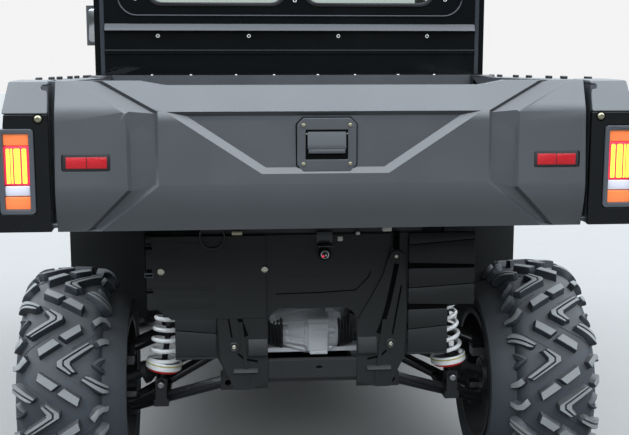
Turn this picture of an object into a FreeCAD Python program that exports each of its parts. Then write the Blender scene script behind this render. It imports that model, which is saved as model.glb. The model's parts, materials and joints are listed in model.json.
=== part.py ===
import FreeCAD, Part
import math
import os

# Side by side utility vehicle with a hard cab and a tipping cargo bed.
# Millimetres, +Z up, +Y forward, +X to the vehicle's right side.
# The origin is on the ground, midway between the tailgate's face and the front bumper.

V = FreeCAD.Vector

# Layout along and across the vehicle
rear_overhang = 620.0
wheelbase = 1960.0
front_overhang = 420.0
rear_track = 1254.0
front_track = 1272.0
body_half_width = 708.0
gap = 0.3

# Wheels
tyre_radius = 333.0
rear_tyre_width = 302.0
front_tyre_width = 244.0
rim_radius = 182.0
rim_barrel_wall = 6.0
lug_height = 22.0
tread_pitches = 7
wheel_windows = 8
brake_disc_radius = 118.0

# Cargo bed
bed_length = 1100.0
bed_half_width = 722.0
bed_inner_half_width = 572.0
bed_floor_top = 906.0
bed_floor_thickness = 30.0
bed_wall_thickness = 34.0
bulkhead_top = 1190.0
rail_top = 1198.0
corner_depth = 150.0
corner_inner_x = 600.0
cap_height = 68.0
bed_pivot_from_rear = 400.0
bed_pivot_z = 846.0
bed_pivot_radius = 12.0

# Tailgate
tailgate_half_width = 585.0
tailgate_bottom = 874.0
tailgate_top = 1200.0
tailgate_thickness = 58.0
tailgate_dip = 10.0
vee_depth = 10.0
crease_depth = 8.0
hinge_pin_radius = 6.0
latch_depth = 30.0

# Cab
bed_to_cab = 44.0
cab_half_width = 632.0
cab_panel_thickness = 24.0
cab_bottom = 700.0
cab_tube_radius = 22.0
cab_tube_x = 578.0
front_post_to_axle = 430.0
windscreen_rake = 278.0
waist_z = 1080.0
tube_top_z = 1870.0
roof_thickness = 67.7
roof_half_width = 645.0
glass_thickness = 6.0
ledge_z = 1331.0
rear_window_low = 1415.0
seat_deck_z = 700.0
seat_height = 120.0
seat_back_height = 470.0

# Doors
door_thickness = 34.0
door_bottom = 470.0
door_belt_z = 1130.0
door_top = 1846.0
door_inner_x = 604.0
door_border = 62.0
hinge_from_door = 12.0
hinge_from_skin = 8.0
hinge_radius = 9.0
hinge_pin = 4.5

# Front end
bonnet_half_width = 392.0
bonnet_thickness = 22.0
cowl_z = 1118.0
brow_z = 1004.0
fender_half_width = 742.0
fender_skin = 8.0
arch_radius = 404.0
bumper_half_width = 330.0
bumper_tube_radius = 24.0
bumper_top_z = 690.0

# Chassis
rail_size = 50.0
lower_rail_x = 150.0
lower_rail_z = 395.0
upper_rail_x = 262.0
upper_rail_z = 800.0
frame_rear_from_tail = 366.0
guard_from_tail = 350.0
guard_depth = 16.0
arm_tube_radius = 16.0
steering_arm = 85.0
tie_rod_z = 395.0
gearcase_z = 490.0
gearcase_half_width = 100.0
engine_half_width = 150.0
engine_top = 774.0

# Places that follow from the sizes
tail_y = -(rear_overhang + wheelbase + front_overhang) / 2
rear_axle_y = tail_y + rear_overhang
front_axle_y = rear_axle_y + wheelbase
nose_y = front_axle_y + front_overhang
axle_z = tyre_radius
rear_wheel_x = rear_track / 2
front_wheel_x = front_track / 2
kingpin_x = front_wheel_x - 76.0
rear_hub_x = rear_wheel_x - 89.0
bed_front_y = tail_y + bed_length
bed_pivot_y = tail_y + bed_pivot_from_rear
guard_y = tail_y + guard_from_tail
frame_rear_y = tail_y + frame_rear_from_tail
frame_front_y = front_axle_y + 250.0
cab_rear_y = bed_front_y + bed_to_cab
cab_rear_post_y = cab_rear_y + 50.0
cab_front_post_y = front_axle_y - front_post_to_axle
windscreen_top_y = cab_front_post_y - windscreen_rake
post_lean = windscreen_rake / (tube_top_z - waist_z)
door_front_y = cab_front_post_y - 38.0
door_rear_y = cab_rear_y + 56.0
seat_rear_y = cab_rear_y + 206.0
seat_front_y = cab_front_post_y - 330.0
cowl_y = cab_front_post_y + 150.0
brow_y = nose_y - 96.0
face_y = nose_y - 54.0
rail_floor_z = lower_rail_z + rail_size / 2
engine_y = (rear_axle_y + 80.0, cab_rear_y - 49.0)
side_panel_rear_y = rear_axle_y + tyre_radius + 33.0
side_top = bed_floor_top - bed_floor_thickness - 14.0
flange_x = bonnet_half_width + 4.0

parts = {}


def keep(name, shape):
    """Adds a solid, or a list of solids, to the node of that name."""
    shapes = shape if isinstance(shape, list) else [shape]
    parts.setdefault(name, []).extend(shapes)


def block(x, y, z):
    """A box between pairs of coordinates."""
    return Part.makeBox(x[1] - x[0], y[1] - y[0], z[1] - z[0], V(x[0], y[0], z[0]))


def mirrored(shape):
    """The same shape on the other side of the vehicle's centre plane."""
    return shape.mirror(V(0, 0, 0), V(1, 0, 0))


def both_sides(shape):
    return [shape, mirrored(shape)]


def side_profile(points, x_low, x_high):
    """A plate whose outline is drawn in side view, as (y, z) points."""
    wire = Part.makePolygon([V(x_low, y, z) for y, z in points + points[:1]])
    return Part.Face(wire).extrude(V(x_high - x_low, 0, 0))


def rear_profile(points, y_low, y_high):
    """A plate whose outline is drawn in rear view, as (x, z) points."""
    wire = Part.makePolygon([V(x, y_low, z) for x, z in points + points[:1]])
    return Part.Face(wire).extrude(V(0, y_high - y_low, 0))


def rod(start, end, radius):
    """A round bar between two points."""
    start, end = V(*start), V(*end)
    return Part.makeCylinder(radius, (end - start).Length, start, end - start)


def ring(start, end, outer, inner):
    """A round sleeve between two points."""
    return rod(start, end, outer).cut(rod(start, end, inner))


def bent_tube(points, radius, bend):
    """A round tube through points, with an arc of that bend radius at each corner."""
    points = [V(*p) for p in points]
    pieces = []
    last = points[0]
    for before, corner, after in zip(points, points[1:], points[2:]):
        inward = (corner - before).normalize()
        outward = (after - corner).normalize()
        turn = inward.getAngle(outward)
        setback = bend * math.tan(turn / 2)
        first = corner - inward * setback
        middle_way = (outward - inward).normalize()
        centre = corner + middle_way * (bend / math.cos(turn / 2))
        pieces.append(Part.makeCylinder(radius, (first - last).Length, last, inward))
        section = Part.Face(Part.Wire([Part.makeCircle(radius, first, inward)]))
        pieces.append(section.revolve(centre, inward.cross(outward), math.degrees(turn)))
        last = corner + outward * setback
    outward = points[-1] - points[-2]
    pieces.append(Part.makeCylinder(radius, (points[-1] - last).Length, last, outward))
    return fused(pieces)


def fused(shapes):
    return shapes[0].fuse(shapes[1:]).removeSplitter() if len(shapes) > 1 else shapes[0]


def rounded(solid, way, radius):
    """The solid with its straight edges along a direction rounded, at most by its thinnest half."""
    box = solid.BoundBox
    size = sorted((box.XLength, box.YLength, box.ZLength))
    edges = [e for e in solid.Edges if abs(e.tangentAt(e.FirstParameter).dot(way)) > 0.99]
    return solid.makeFillet(min(radius, 0.45 * size[1]), edges)


def rounded_slab(x, y, z, radius):
    """A box whose upright edges are rounded."""
    return rounded(block(x, y, z), V(0, 0, 1), radius)


def tapered(mouth, floor, mouth_depth, floor_depth):
    """A pocket's cutter in rear view: its mouth and its floor are (x, z) outlines at two depths of the tailgate.

    The depths are functions of the height, so that mouth and floor may lean.
    """
    wires = []
    for outline, depth in ((mouth, mouth_depth), (floor, floor_depth)):
        places = [V(x, tail_y + depth(z), z) for x, z in outline]
        wires.append(Part.makePolygon(places + places[:1]))
    return Part.makeLoft(wires, True, True)


def a_arm(inner, outer, inner_reach, axle_y, radius):
    """A suspension arm on the right side: two legs between flat faced ends.

    inner and outer are (x, z) places; inner_reach holds the y places of the two inner sleeves.
    """
    legs = []
    for way, reach in zip((-1, 1), inner_reach):
        start = (inner[0], axle_y + reach, inner[1])
        end = (outer[0], axle_y + way * outer_spread, outer[1])
        legs.append(rod(start, end, radius))
        half = sleeve_length / 2
        high = radius + 3
        sleeve_x = (inner[0] - high, inner[0] + high)
        legs.append(block(sleeve_x, (start[1] - half, start[1] + half), (inner[1] - high, inner[1] + high)))
    reach = outer_spread + radius + 2
    high = radius + 2
    head_x = (outer[0] - 20, outer[0] + 16)
    legs.append(block(head_x, (axle_y - reach, axle_y + reach), (outer[1] - high, outer[1] + high)))
    bores = []
    for reach in inner_reach:
        near, far = axle_y + reach - sleeve_length, axle_y + reach + sleeve_length
        bores.append(rod((inner[0], near, inner[1]), (inner[0], far, inner[1]), pin_radius + gap))
    return fused(legs).cut(bores)


def arm_brackets(inner, inner_reach, axle_y, root_x, radius):
    """The frame's ears and pins that hold an arm's two inner sleeves."""
    pieces = []
    for place in inner_reach:
        middle = axle_y + place
        for side in (-1, 1):
            near = middle + side * (sleeve_length / 2 + gap)
            low, high = sorted((near, near + side * ear_thickness))
            z = (inner[1] - radius, inner[1] + radius)
            pieces.append(block((root_x, inner[0] + radius), (low, high), z))
        reach = sleeve_length / 2 + ear_thickness
        pieces.append(rod((inner[0], middle - reach, inner[1]), (inner[0], middle + reach, inner[1]), pin_radius))
    return pieces


# Suspension places, one row for each axle: the ends of the lower and upper arms as (x, z)
sleeve_length = 50.0
pin_radius = 8.0
ear_thickness = 8.0
outer_spread = 26.0
damper_eye_width = 34.0
lower_arm_in = (lower_rail_x + 72.0, lower_rail_z - 9.0)
upper_arm_in = (lower_rail_x + 80.0, lower_rail_z + 125.0)
axles = {
    "rear": dict(
        y=rear_axle_y,
        lower_out=(rear_hub_x - 43.0, axle_z - 61.0),
        lower_reach=(-170.0, 170.0),
        upper_out=(rear_hub_x - 38.0, axle_z + 104.0),
        upper_reach=(75.0, 185.0),
        shock_y=-95.0,
        shock_low=(rear_hub_x - 133.0, axle_z + 30.0),
        shock_high=(upper_rail_x + 83.0, upper_rail_z - 55.0),
    ),
    "front": dict(
        y=front_axle_y,
        lower_out=(kingpin_x, axle_z - 73.0),
        lower_reach=(-150.0, 150.0),
        upper_out=(kingpin_x, axle_z + 97.0),
        upper_reach=(-185.0, -75.0),
        shock_y=80.0,
        shock_low=(kingpin_x - 182.0, axle_z + 39.0),
        shock_high=(upper_rail_x + 68.0, upper_rail_z - 55.0),
    ),
}

# Chassis frame of square tube
half_rail = rail_size / 2
nose_skin = 14.0
nose_support_y = face_y - 4.0 - nose_skin - gap


def rail(x, y, z):
    return both_sides(block((x - half_rail, x + half_rail), y, (z - half_rail, z + half_rail)))


frame_tube = rail(lower_rail_x, (frame_rear_y, frame_front_y), lower_rail_z)
frame_tube += rail(upper_rail_x, (frame_rear_y, cab_rear_y - gap), upper_rail_z)
frame_tube += rail(upper_rail_x, (cowl_y - 50, nose_support_y), upper_rail_z)
# Cross members between the rails: their middles along the vehicle
for place in (frame_rear_y + half_rail, sum(engine_y) / 2, frame_front_y - half_rail):
    y = (place - half_rail, place + half_rail)
    for reach, level in ((lower_rail_x, lower_rail_z), (upper_rail_x, upper_rail_z)):
        frame_tube.append(block((-reach, reach), y, (level - half_rail, level + half_rail)))
# Sills and the cross members that reach them below the floor
sill_half = 20.0
sill_z = (rail_floor_z - 2 * sill_half, rail_floor_z)
sill_y = (cab_rear_post_y - cab_tube_radius, cab_front_post_y + sill_half)
sill_x = (cab_tube_x - cab_tube_radius, cab_tube_x + cab_tube_radius)
frame_tube += both_sides(block(sill_x, sill_y, sill_z))
for place in (cab_rear_post_y, (cab_rear_post_y + cab_front_post_y) / 2, cab_front_post_y):
    frame_tube.append(block((-cab_tube_x, cab_tube_x), (place - sill_half, place + sill_half), sill_z))
# Slanted struts from the lower to the upper rails
strut_radius = 19.0
for place in (frame_rear_y + half_rail, engine_y[1] + half_rail, cowl_y - 20, frame_front_y - half_rail):
    foot = (lower_rail_x, place, lower_rail_z)
    frame_tube += both_sides(rod(foot, (upper_rail_x, place, upper_rail_z), strut_radius))
# Towers under the arms' inner ends, ears with pins, and the cross bars that carry fenders and bonnet
brackets = []
ear_radius = 13.0
tower_top = upper_arm_in[1] + 20.0
for axle in axles.values():
    for reach in axle["upper_reach"]:
        y = axle["y"] + reach
        half = sleeve_length / 2 + ear_thickness + gap
        tower_x = (lower_rail_x + 2, lower_rail_x + half_rail + 25)
        brackets += both_sides(block(tower_x, (y - half, y + half), (lower_rail_z, tower_top)))
    low_ears = arm_brackets(lower_arm_in, axle["lower_reach"], axle["y"], lower_rail_x, ear_radius)
    high_ears = arm_brackets(upper_arm_in, axle["upper_reach"], axle["y"], lower_rail_x + 20, ear_radius)
    shock_x, shock_z = axle["shock_high"]
    shock_y = axle["y"] + axle["shock_y"]
    shock_ears = []
    for way in (-1, 1):
        near = shock_y + way * (damper_eye_width / 2 + gap)
        y = sorted((near, near + way * ear_thickness))
        shock_ears.append(block((upper_rail_x, shock_x + 20), y, (shock_z - 20, upper_rail_z)))
    reach = damper_eye_width / 2 + gap + ear_thickness
    shock_ears.append(rod((shock_x, shock_y - reach, shock_z), (shock_x, shock_y + reach, shock_z), pin_radius))
    for piece in low_ears + high_ears + shock_ears:
        brackets += both_sides(piece)
for y, z in ((cowl_y - 30, cowl_z - 78), (brow_y - 104, brow_z - 54)):
    brackets.append(block((gap - flange_x, flange_x - gap), (y, y + 30), (z, z + 30)))
    post_x = (upper_rail_x - half_rail, upper_rail_x + half_rail)
    brackets += both_sides(block(post_x, (y, y + 30), (upper_rail_z, z)))
# Bed pivot ears with their pins
ear_y = (bed_pivot_y - 14, bed_pivot_y + 14)
ear = block((upper_rail_x - half_rail, upper_rail_x), ear_y, (upper_rail_z, bed_pivot_z + 18))
pivot_tip = (upper_rail_x - half_rail - 27, bed_pivot_y, bed_pivot_z)
brackets += both_sides(ear.fuse(rod((upper_rail_x, bed_pivot_y, bed_pivot_z), pivot_tip, bed_pivot_radius)))
frame = fused(frame_tube + brackets)


coil_steps = 8


def coil(radius, wire, bottom, top, turns):
    """A coil spring about the Z axis, of square wire in flat facets, whose end turns lie flat on their seats."""
    steps = int(turns * coil_steps)
    flat = 0.75 * coil_steps
    rings = []
    for step in range(steps + 1):
        angle = math.tau * step / coil_steps
        share = min(max(step - flat, 0), steps - 2 * flat) / (steps - 2 * flat)
        middle = bottom + wire / 2 + share * (top - bottom - wire)
        corners = []
        for out, up in ((-1, -1), (1, -1), (1, 1), (-1, 1)):
            reach = radius + out * wire / 2
            corners.append(V(reach * math.cos(angle), reach * math.sin(angle), middle + up * wire / 2))
        rings.append(corners)
    faces = [Part.Face(Part.makePolygon(end + end[:1])) for end in (rings[0], rings[-1])]
    for near, far in zip(rings, rings[1:]):
        for a in range(4):
            b = (a + 1) % 4
            for corners in ([near[a], near[b], far[b]], [near[a], far[b], far[a]]):
                faces.append(Part.Face(Part.makePolygon(corners + corners[:1])))
    return Part.Solid(Part.Shell(faces))


# Suspension arms, dampers with their coil springs, and the pins for the ball joints
damper_radius = 21.0
damper_rod_radius = 8.0
spring_radius = 38.0
spring_wire = 11.0
spring_turns = 7.0
seat_from_eye = 52.0
seat_thickness = 10.0
ball_pin_radius = 8.0
ball_pin_depth = 12.0
carrier_foot = arm_tube_radius + 8.0
carrier_head = arm_tube_radius + 4.0
for name, axle in axles.items():
    y = axle["y"]
    lower = a_arm(lower_arm_in, axle["lower_out"], axle["lower_reach"], y, arm_tube_radius)
    shock_x, shock_z = axle["shock_low"]
    low_x, low_z = axle["lower_out"]
    slope = (low_z - lower_arm_in[1]) / (low_x - lower_arm_in[0])
    bar_z = lower_arm_in[1] + slope * (shock_x - lower_arm_in[0])
    shock_y = y + axle["shock_y"]
    reach = damper_eye_width / 2 + gap + ear_thickness
    bridge_y = sorted((shock_y + math.copysign(reach, axle["shock_y"]), y - math.copysign(80, axle["shock_y"])))
    pieces = [block((shock_x - 20, shock_x + 20), bridge_y, (bar_z - 10, bar_z + 10))]
    for way in (-1, 1):
        near = shock_y + way * (damper_eye_width / 2 + gap)
        ear_y = sorted((near, near + way * ear_thickness))
        pieces.append(block((shock_x - 15, shock_x + 15), ear_y, (bar_z, shock_z + 15)))
    pieces.append(rod((shock_x, shock_y - reach, shock_z), (shock_x, shock_y + reach, shock_z), pin_radius))
    pieces.append(rod((low_x, y, low_z), (low_x, y, low_z + carrier_foot + ball_pin_depth), ball_pin_radius))
    keep("lower_arms", both_sides(fused([lower] + pieces)))
    upper = a_arm(upper_arm_in, axle["upper_out"], axle["upper_reach"], y, arm_tube_radius - 3)
    high_x, high_z = axle["upper_out"]
    foot_of_pin = high_z - carrier_head - ball_pin_depth
    upper = upper.fuse(rod((high_x, y, high_z), (high_x, y, foot_of_pin), ball_pin_radius))
    keep("upper_arms", both_sides(upper))
    bottom = V(shock_x, shock_y, shock_z)
    top = V(axle["shock_high"][0], shock_y, axle["shock_high"][1])
    length = (top - bottom).Length
    # Damper drawn upright from its lower eye, then leaned to its top
    seat = spring_radius + spring_wire / 2 + 3
    low_seat = seat_from_eye - seat_thickness
    body_foot = 0.42 * length
    profile = [
        (0, 0), (damper_rod_radius, 0), (damper_rod_radius, low_seat), (seat, low_seat), (seat, seat_from_eye),
        (damper_rod_radius, seat_from_eye), (damper_rod_radius, body_foot), (damper_radius, body_foot),
        (damper_radius, length - seat_from_eye), (seat, length - seat_from_eye), (seat, length - low_seat),
        (damper_radius, length - low_seat), (damper_radius, length - 28), (damper_rod_radius, length - 28),
        (damper_rod_radius, length), (0, length),
    ]
    wire = Part.makePolygon([V(r, 0, z) for r, z in profile + profile[:1]])
    damper = Part.Face(wire).revolve(V(0, 0, 0), V(0, 0, 1), 360)
    half_eye = damper_eye_width / 2
    eyes = [block((-14, 14), (-half_eye, half_eye), (z - 14, z + 14)) for z in (0, length)]
    bores = [rod((0, -half_eye - 1, z), (0, half_eye + 1, z), pin_radius + gap) for z in (0, length)]
    spring = coil(spring_radius, spring_wire, seat_from_eye, length - seat_from_eye, spring_turns)
    lean = math.degrees(math.atan2(top.x - bottom.x, top.z - bottom.z))
    for piece, node in ((fused([damper] + eyes).cut(bores), "dampers"), (spring, "springs")):
        piece.rotate(V(0, 0, 0), V(0, 1, 0), lean)
        piece.translate(bottom)
        keep(node, both_sides(piece))

# Half shafts from the gearcases to the hubs, with a rubber boot at each end
shaft_radius = 12.0
ball_radius = 24.0
for name, axle in axles.items():
    y = axle["y"]
    hub_x = kingpin_x if name == "front" else rear_hub_x
    start = V(gearcase_half_width + 4.5, y, gearcase_z)
    end = V(hub_x, y, axle_z)
    way = (end - start).normalize()
    span = (end - start).Length
    # Profile along the shaft: inner boot in three folds, bar, outer boot and ball, as (along, radius)
    shaft = [
        (0, 0), (0, shaft_radius), (12, shaft_radius), (12, 38), (30, 38), (36, 31), (44, 34), (52, 26), (60, 28),
        (70, 20), (82, 18), (88, shaft_radius), (span - 140, shaft_radius), (span - 134, 18), (span - 116, 24),
        (span - 110, 22), (span - 94, 32), (span - 80, 32), (span - 80, shaft_radius), (span - 20, shaft_radius),
        (span - 10, ball_radius), (span + 10, ball_radius), (span + 18, 16), (span + 18, 0),
    ]
    wire = Part.makePolygon([V(r, 0, z) for z, r in shaft + shaft[:1]])
    solid = Part.Face(wire).revolve(V(0, 0, 0), V(0, 0, 1), 360)
    solid.rotate(V(0, 0, 0), V(0, 1, 0), math.degrees(math.atan2(way.x, way.z)))
    solid.translate(start)
    keep("half_shafts", both_sides(solid))


def turned(points, x_shift):
    """A solid of revolution about the X axis, from (x, radius) points."""
    wire = Part.makePolygon([V(x + x_shift, 0, r) for x, r in points + points[:1]])
    return Part.Face(wire).revolve(V(0, 0, 0), V(1, 0, 0), 360)


def tread_lug(points, root_radius, tip_radius, angle):
    """A lug whose outline is (across, along) points on the tread, turned to its place round the tyre."""
    reach = max(abs(along) for across, along in points)
    tip = math.sqrt(tip_radius ** 2 - reach ** 2)
    root = math.sqrt(root_radius ** 2 - reach ** 2) - 2.0
    wire = Part.makePolygon([V(across, along, root) for across, along in points + points[:1]])
    lug = Part.Face(wire).extrude(V(0, 0, tip - root))
    lug.rotate(V(0, 0, 0), V(1, 0, 0), angle)
    return lug


def facetted_ring(points, bore, sides):
    """A ring about the X axis with that many flat sides, from (x, radius) points, round a bore of like sides."""
    flat_radius = bore / math.cos(math.pi / sides)
    loop = points + [(points[-1][0], flat_radius), (points[0][0], flat_radius)]
    rims = []
    for x, radius in loop:
        corners = []
        for number in range(sides):
            angle = math.tau * (number + 0.5) / sides
            corners.append(V(x, radius * math.sin(angle), radius * math.cos(angle)))
        rims.append(corners)
    faces = []
    for near, far in zip(rims, rims[1:] + rims[:1]):
        for number in range(sides):
            after = (number + 1) % sides
            quad = [near[number], near[after], far[after], far[number]]
            faces.append(Part.Face(Part.makePolygon(quad + quad[:1])))
    return Part.Solid(Part.Shell(faces))


def tyre(width):
    """A lug tyre about the X axis: on its carcass, slanted bars and hooks by turns, and shoulder lugs."""
    rows = 2 * tread_pitches
    step = 360.0 / rows
    tread_radius = tyre_radius - lug_height
    edge = 0.38 * width
    shoulder = (0.475 * width, 0.862 * tread_radius)
    right = [(edge, tread_radius), shoulder, (0.42 * width, rim_radius + 12)]
    left = [(-x, radius) for x, radius in reversed(right)]
    carcass = facetted_ring(left + right, rim_radius + gap, 2 * rows)
    # Bars lean over half the tread's width, and hooks point to alternate sides
    bar = 0.18 * width
    bar_rise, bar_width = 28.0, 25.0
    hook, hook_reach, hook_arm = 0.14 * width, 29.0, 22.0
    slope = V(shoulder[0] - edge, 0, shoulder[1] - tread_radius).normalize()
    outward = V(-slope.z, 0, slope.x)
    lugs = []
    for row in range(rows):
        flip = -1 if row % 2 else 1
        angle = row * step
        slant = [(-bar, -bar_rise), (-bar, bar_width - bar_rise), (bar, bar_rise), (bar, bar_rise - bar_width)]
        slant = [(across, flip * along) for across, along in slant]
        lugs.append(tread_lug(slant, tread_radius, tyre_radius, angle))
        elbow = [(-hook, hook_reach), (hook, 0), (-hook, -hook_reach), (-hook, hook_arm - hook_reach),
                 (hook - 2 * hook_arm, 0), (-hook, hook_reach - hook_arm)]
        elbow = [(flip * across, along) for across, along in elbow]
        lugs.append(tread_lug(elbow, tread_radius, tyre_radius, angle + step / 2))
        for way in (-1, 1):
            # A shoulder lug stands on the sloped facet, its side view drawn as (x, radius) points
            foot = V(edge, 0, tread_radius)
            low_in, low_out = foot + slope * 3 - outward * 4, foot + slope * 45 - outward * 4
            reach = (width / 2 - low_out.x) / outward.x
            outline = [low_in, low_out, low_out + outward * reach, low_in + outward * reach]
            corners = [V(way * corner.x, -19, corner.z) for corner in outline + outline[:1]]
            lug = Part.Face(Part.makePolygon(corners)).extrude(V(0, 38, 0))
            lug.rotate(V(0, 0, 0), V(1, 0, 0), angle + (step / 2 if way * flip > 0 else 0))
            lugs.append(lug)
    return carcass.fuse(lugs).removeSplitter()


def rim(width, hub_face):
    """A dished wheel about the X axis, +X outwards: barrel, spoked disc, brake disc and stub."""
    bead = 0.42 * width
    lip = rim_radius + 11
    inner = rim_radius - rim_barrel_wall
    barrel = [
        (-bead - 7, lip), (-bead - gap, lip), (-bead - gap, rim_radius), (bead + gap, rim_radius),
        (bead + gap, lip), (bead + 7, lip), (bead + 7, inner), (-bead - 7, inner),
    ]
    outer_face = bead - 38
    dish = [
        (hub_face, 0), (hub_face, 78), (outer_face - 16, inner + 1), (outer_face, inner + 1), (hub_face + 26, 74),
        (hub_face + 12, 62), (hub_face + 12, 30), (hub_face + 34, 26), (hub_face + 34, 0),
    ]
    windows = []
    for number in range(wheel_windows):
        outline = [(-15, 92), (15, 92), (34, 160), (-34, 160)]
        corners = [V(hub_face - 30, across, up) for across, up in outline + outline[:1]]
        window = Part.Face(Part.makePolygon(corners)).extrude(V(width, 0, 0))
        window.rotate(V(0, 0, 0), V(1, 0, 0), number * 360.0 / wheel_windows)
        windows.append(window)
    disc = turned([(hub_face - 9, 0), (hub_face - 9, brake_disc_radius), (hub_face - 5, brake_disc_radius),
                   (hub_face - 5, 40), (hub_face, 40), (hub_face, 0)], 0)
    stub = rod((hub_face - 22, 0, 0), (hub_face - 9, 0, 0), knuckle_bore - 0.5)
    return fused([turned(barrel, 0), turned(dish, 0).cut(windows), disc, stub])


def placed(shape, x, y, z):
    moved = shape.copy()
    moved.translate(V(x, y, z))
    return moved


# Wheels, one row for each axle: width, middle of the track and the place of its hub carrier
knuckle_bore = 27.0
knuckle_outer = 46.0
hub_face_from_carrier = 50.0
wheels = [
    ("rear", rear_tyre_width, rear_wheel_x, rear_axle_y, rear_hub_x),
    ("front", front_tyre_width, front_wheel_x, front_axle_y, kingpin_x),
]
for name, width, middle, y, hub_x in wheels:
    rubber = placed(tyre(width), middle, y, axle_z)
    metal = placed(rim(width, hub_x + hub_face_from_carrier - middle), middle, y, axle_z)
    for side, turn in (("right", False), ("left", True)):
        keep("tyre_%s_%s" % (name, side), mirrored(rubber) if turn else rubber)
        keep("rim_%s_%s" % (name, side), mirrored(metal) if turn else metal)

# Knuckles: a bearing barrel with an upright between the two ball joints
for name, axle in axles.items():
    y = axle["y"]
    steered = name == "front"
    hub_x = kingpin_x if steered else rear_hub_x
    inner_x = hub_x - 25.0
    outer_x = hub_x + 34.0
    barrel = rod((inner_x, y, axle_z), (outer_x, y, axle_z), knuckle_outer)
    bore = rod((inner_x - 1, y, axle_z), (outer_x + 1, y, axle_z), knuckle_bore)
    mouth = Part.makeCone(40.0, knuckle_bore, 14.0, V(inner_x - 0.1, y, axle_z), V(1, 0, 0))
    low_x, low_z = axle["lower_out"]
    high_x, high_z = axle["upper_out"]
    foot = low_z + carrier_foot
    head = high_z - carrier_head
    carrier = [barrel]
    carrier.append(block((hub_x - 20, hub_x + 22), (y - 20, y + 20), (foot, head)))
    carrier.append(block((low_x - 14, hub_x + 22), (y - 20, y + 20), (foot, foot + 16)))
    carrier.append(block((high_x - 14, hub_x + 22), (y - 20, y + 20), (head - 26, head)))
    carrier.append(block((hub_x + 4, hub_x + 22), (y, y + 60), (axle_z + 22, axle_z + 60)))
    caliper = block((hub_x + 4, hub_x + 34), (y + 50, y + 84), (axle_z + 20, axle_z + 75))
    carrier.append(rounded(caliper, V(1, 0, 0), 8.0))
    if steered:
        arm_y = y - steering_arm
        carrier.append(rod((kingpin_x, arm_y, tie_rod_z - 32), (kingpin_x, arm_y, tie_rod_z - 10), 14.0))
        carrier.append(block((kingpin_x - 12, kingpin_x + 12), (arm_y, y), (tie_rod_z - 32, tie_rod_z - 14)))
    ball_bores = [
        rod((low_x, y, foot - 1), (low_x, y, foot + ball_pin_depth + 1), ball_pin_radius + gap),
        rod((high_x, y, head + 1), (high_x, y, head - ball_pin_depth - 1), ball_pin_radius + gap),
    ]
    whole = fused(carrier).cut([bore, mouth] + ball_bores)
    if steered:
        keep("knuckle_right", whole)
        keep("knuckle_left", mirrored(whole))
    else:
        keep("rear_knuckles", both_sides(whole))

# Steering: rack bar with a tie rod to each side, its housing, the wheel and its column
rack_y = front_axle_y - steering_arm
rack_half = 118.0
rack_radius = 8.0
tie_bar = rod((-kingpin_x, rack_y, tie_rod_z), (kingpin_x, rack_y, tie_rod_z), rack_radius)
tie_head = rod((kingpin_x, rack_y, tie_rod_z - 9.5), (kingpin_x, rack_y, tie_rod_z + 11), 13.0)
keep("tie_rods", fused([tie_bar] + both_sides(tie_head)))
housing = ring((-rack_half, rack_y, tie_rod_z), (rack_half, rack_y, tie_rod_z), 20.0, rack_radius + 0.5)
keep("steering_rack", housing)
hole_reach = lower_rail_x + 60
rack_hole = rod((-hole_reach, rack_y, tie_rod_z), (hole_reach, rack_y, tie_rod_z), rack_radius + 7)
keep("frame", frame.cut(rack_hole))

driver_x = -300.0
wheel_from_post = 350.0
wheel_y = cab_front_post_y - wheel_from_post
wheel_z = 1010.0
column_rise = 35.0
wheel_rim_radius = 175.0
grip_radius = 15.0
column_radius = 20.0
column_way = V(0, -math.cos(math.radians(column_rise)), math.sin(math.radians(column_rise)))
wheel_middle = V(driver_x, wheel_y, wheel_z)


def tilted(shape):
    """A piece drawn about the Z axis at the origin, moved to the steering wheel's place."""
    shape.rotate(V(0, 0, 0), V(1, 0, 0), 90 - column_rise)
    shape.translate(wheel_middle)
    return shape


section = []
for number in range(6):
    angle = math.radians(60 * number + 30)
    section.append(V(wheel_rim_radius + grip_radius * math.cos(angle), 0, grip_radius * math.sin(angle)))
hand_rim = Part.Face(Part.makePolygon(section + section[:1])).revolve(V(0, 0, 0), V(0, 0, 1), 360)
hand_wheel = [tilted(hand_rim), Part.makeCylinder(42.0, 36.0, wheel_middle - column_way * 30, column_way)]
for angle in (60, 180, 300):
    spoke = block((-16, 16), (20, wheel_rim_radius - 4), (-6, 4))
    spoke.rotate(V(0, 0, 0), V(0, 0, 1), angle)
    hand_wheel.append(tilted(spoke))
keep("steering_wheel", fused(hand_wheel))

# Engine: crankcase, cylinder block with its head cover, and the round cover of the belt drive
case_top = engine_top - 170.0
crankcase = rounded_slab((-engine_half_width, engine_half_width), engine_y, (rail_floor_z + gap, case_top), 30.0)
middle_y = sum(engine_y) / 2
cylinder = rounded_slab((-95, 95), (middle_y - 110, middle_y + 110), (case_top - 10, engine_top - 50), 18.0)
head_cover = rounded_slab((-108, 108), (middle_y - 122, middle_y + 122), (engine_top - 62, engine_top), 26.0)
belt_y = middle_y + 40.0
belt_z = (rail_floor_z + case_top) / 2 + 3
belt_cover = rod((-engine_half_width - 9, belt_y, belt_z), (0, belt_y, belt_z), 82.0)
keep("engine", fused([crankcase, cylinder, head_cover, belt_cover]))
muffler_y = frame_rear_y + 118.0
muffler_z = 668.0
can = rod((-190, muffler_y, muffler_z), (190, muffler_y, muffler_z), 62.0)
manifold_y = middle_y - 40.0
pipe_route = [(120, muffler_y + 30, muffler_z), (120, manifold_y, muffler_z), (95 + gap, manifold_y, muffler_z)]
pipe = bent_tube(pipe_route, 20.0, 24.0)
outlet = rod((-150, muffler_y, muffler_z), (-150, frame_rear_y + 30, muffler_z), 18.0)
keep("muffler", fused([can, pipe, outlet]))

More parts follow.
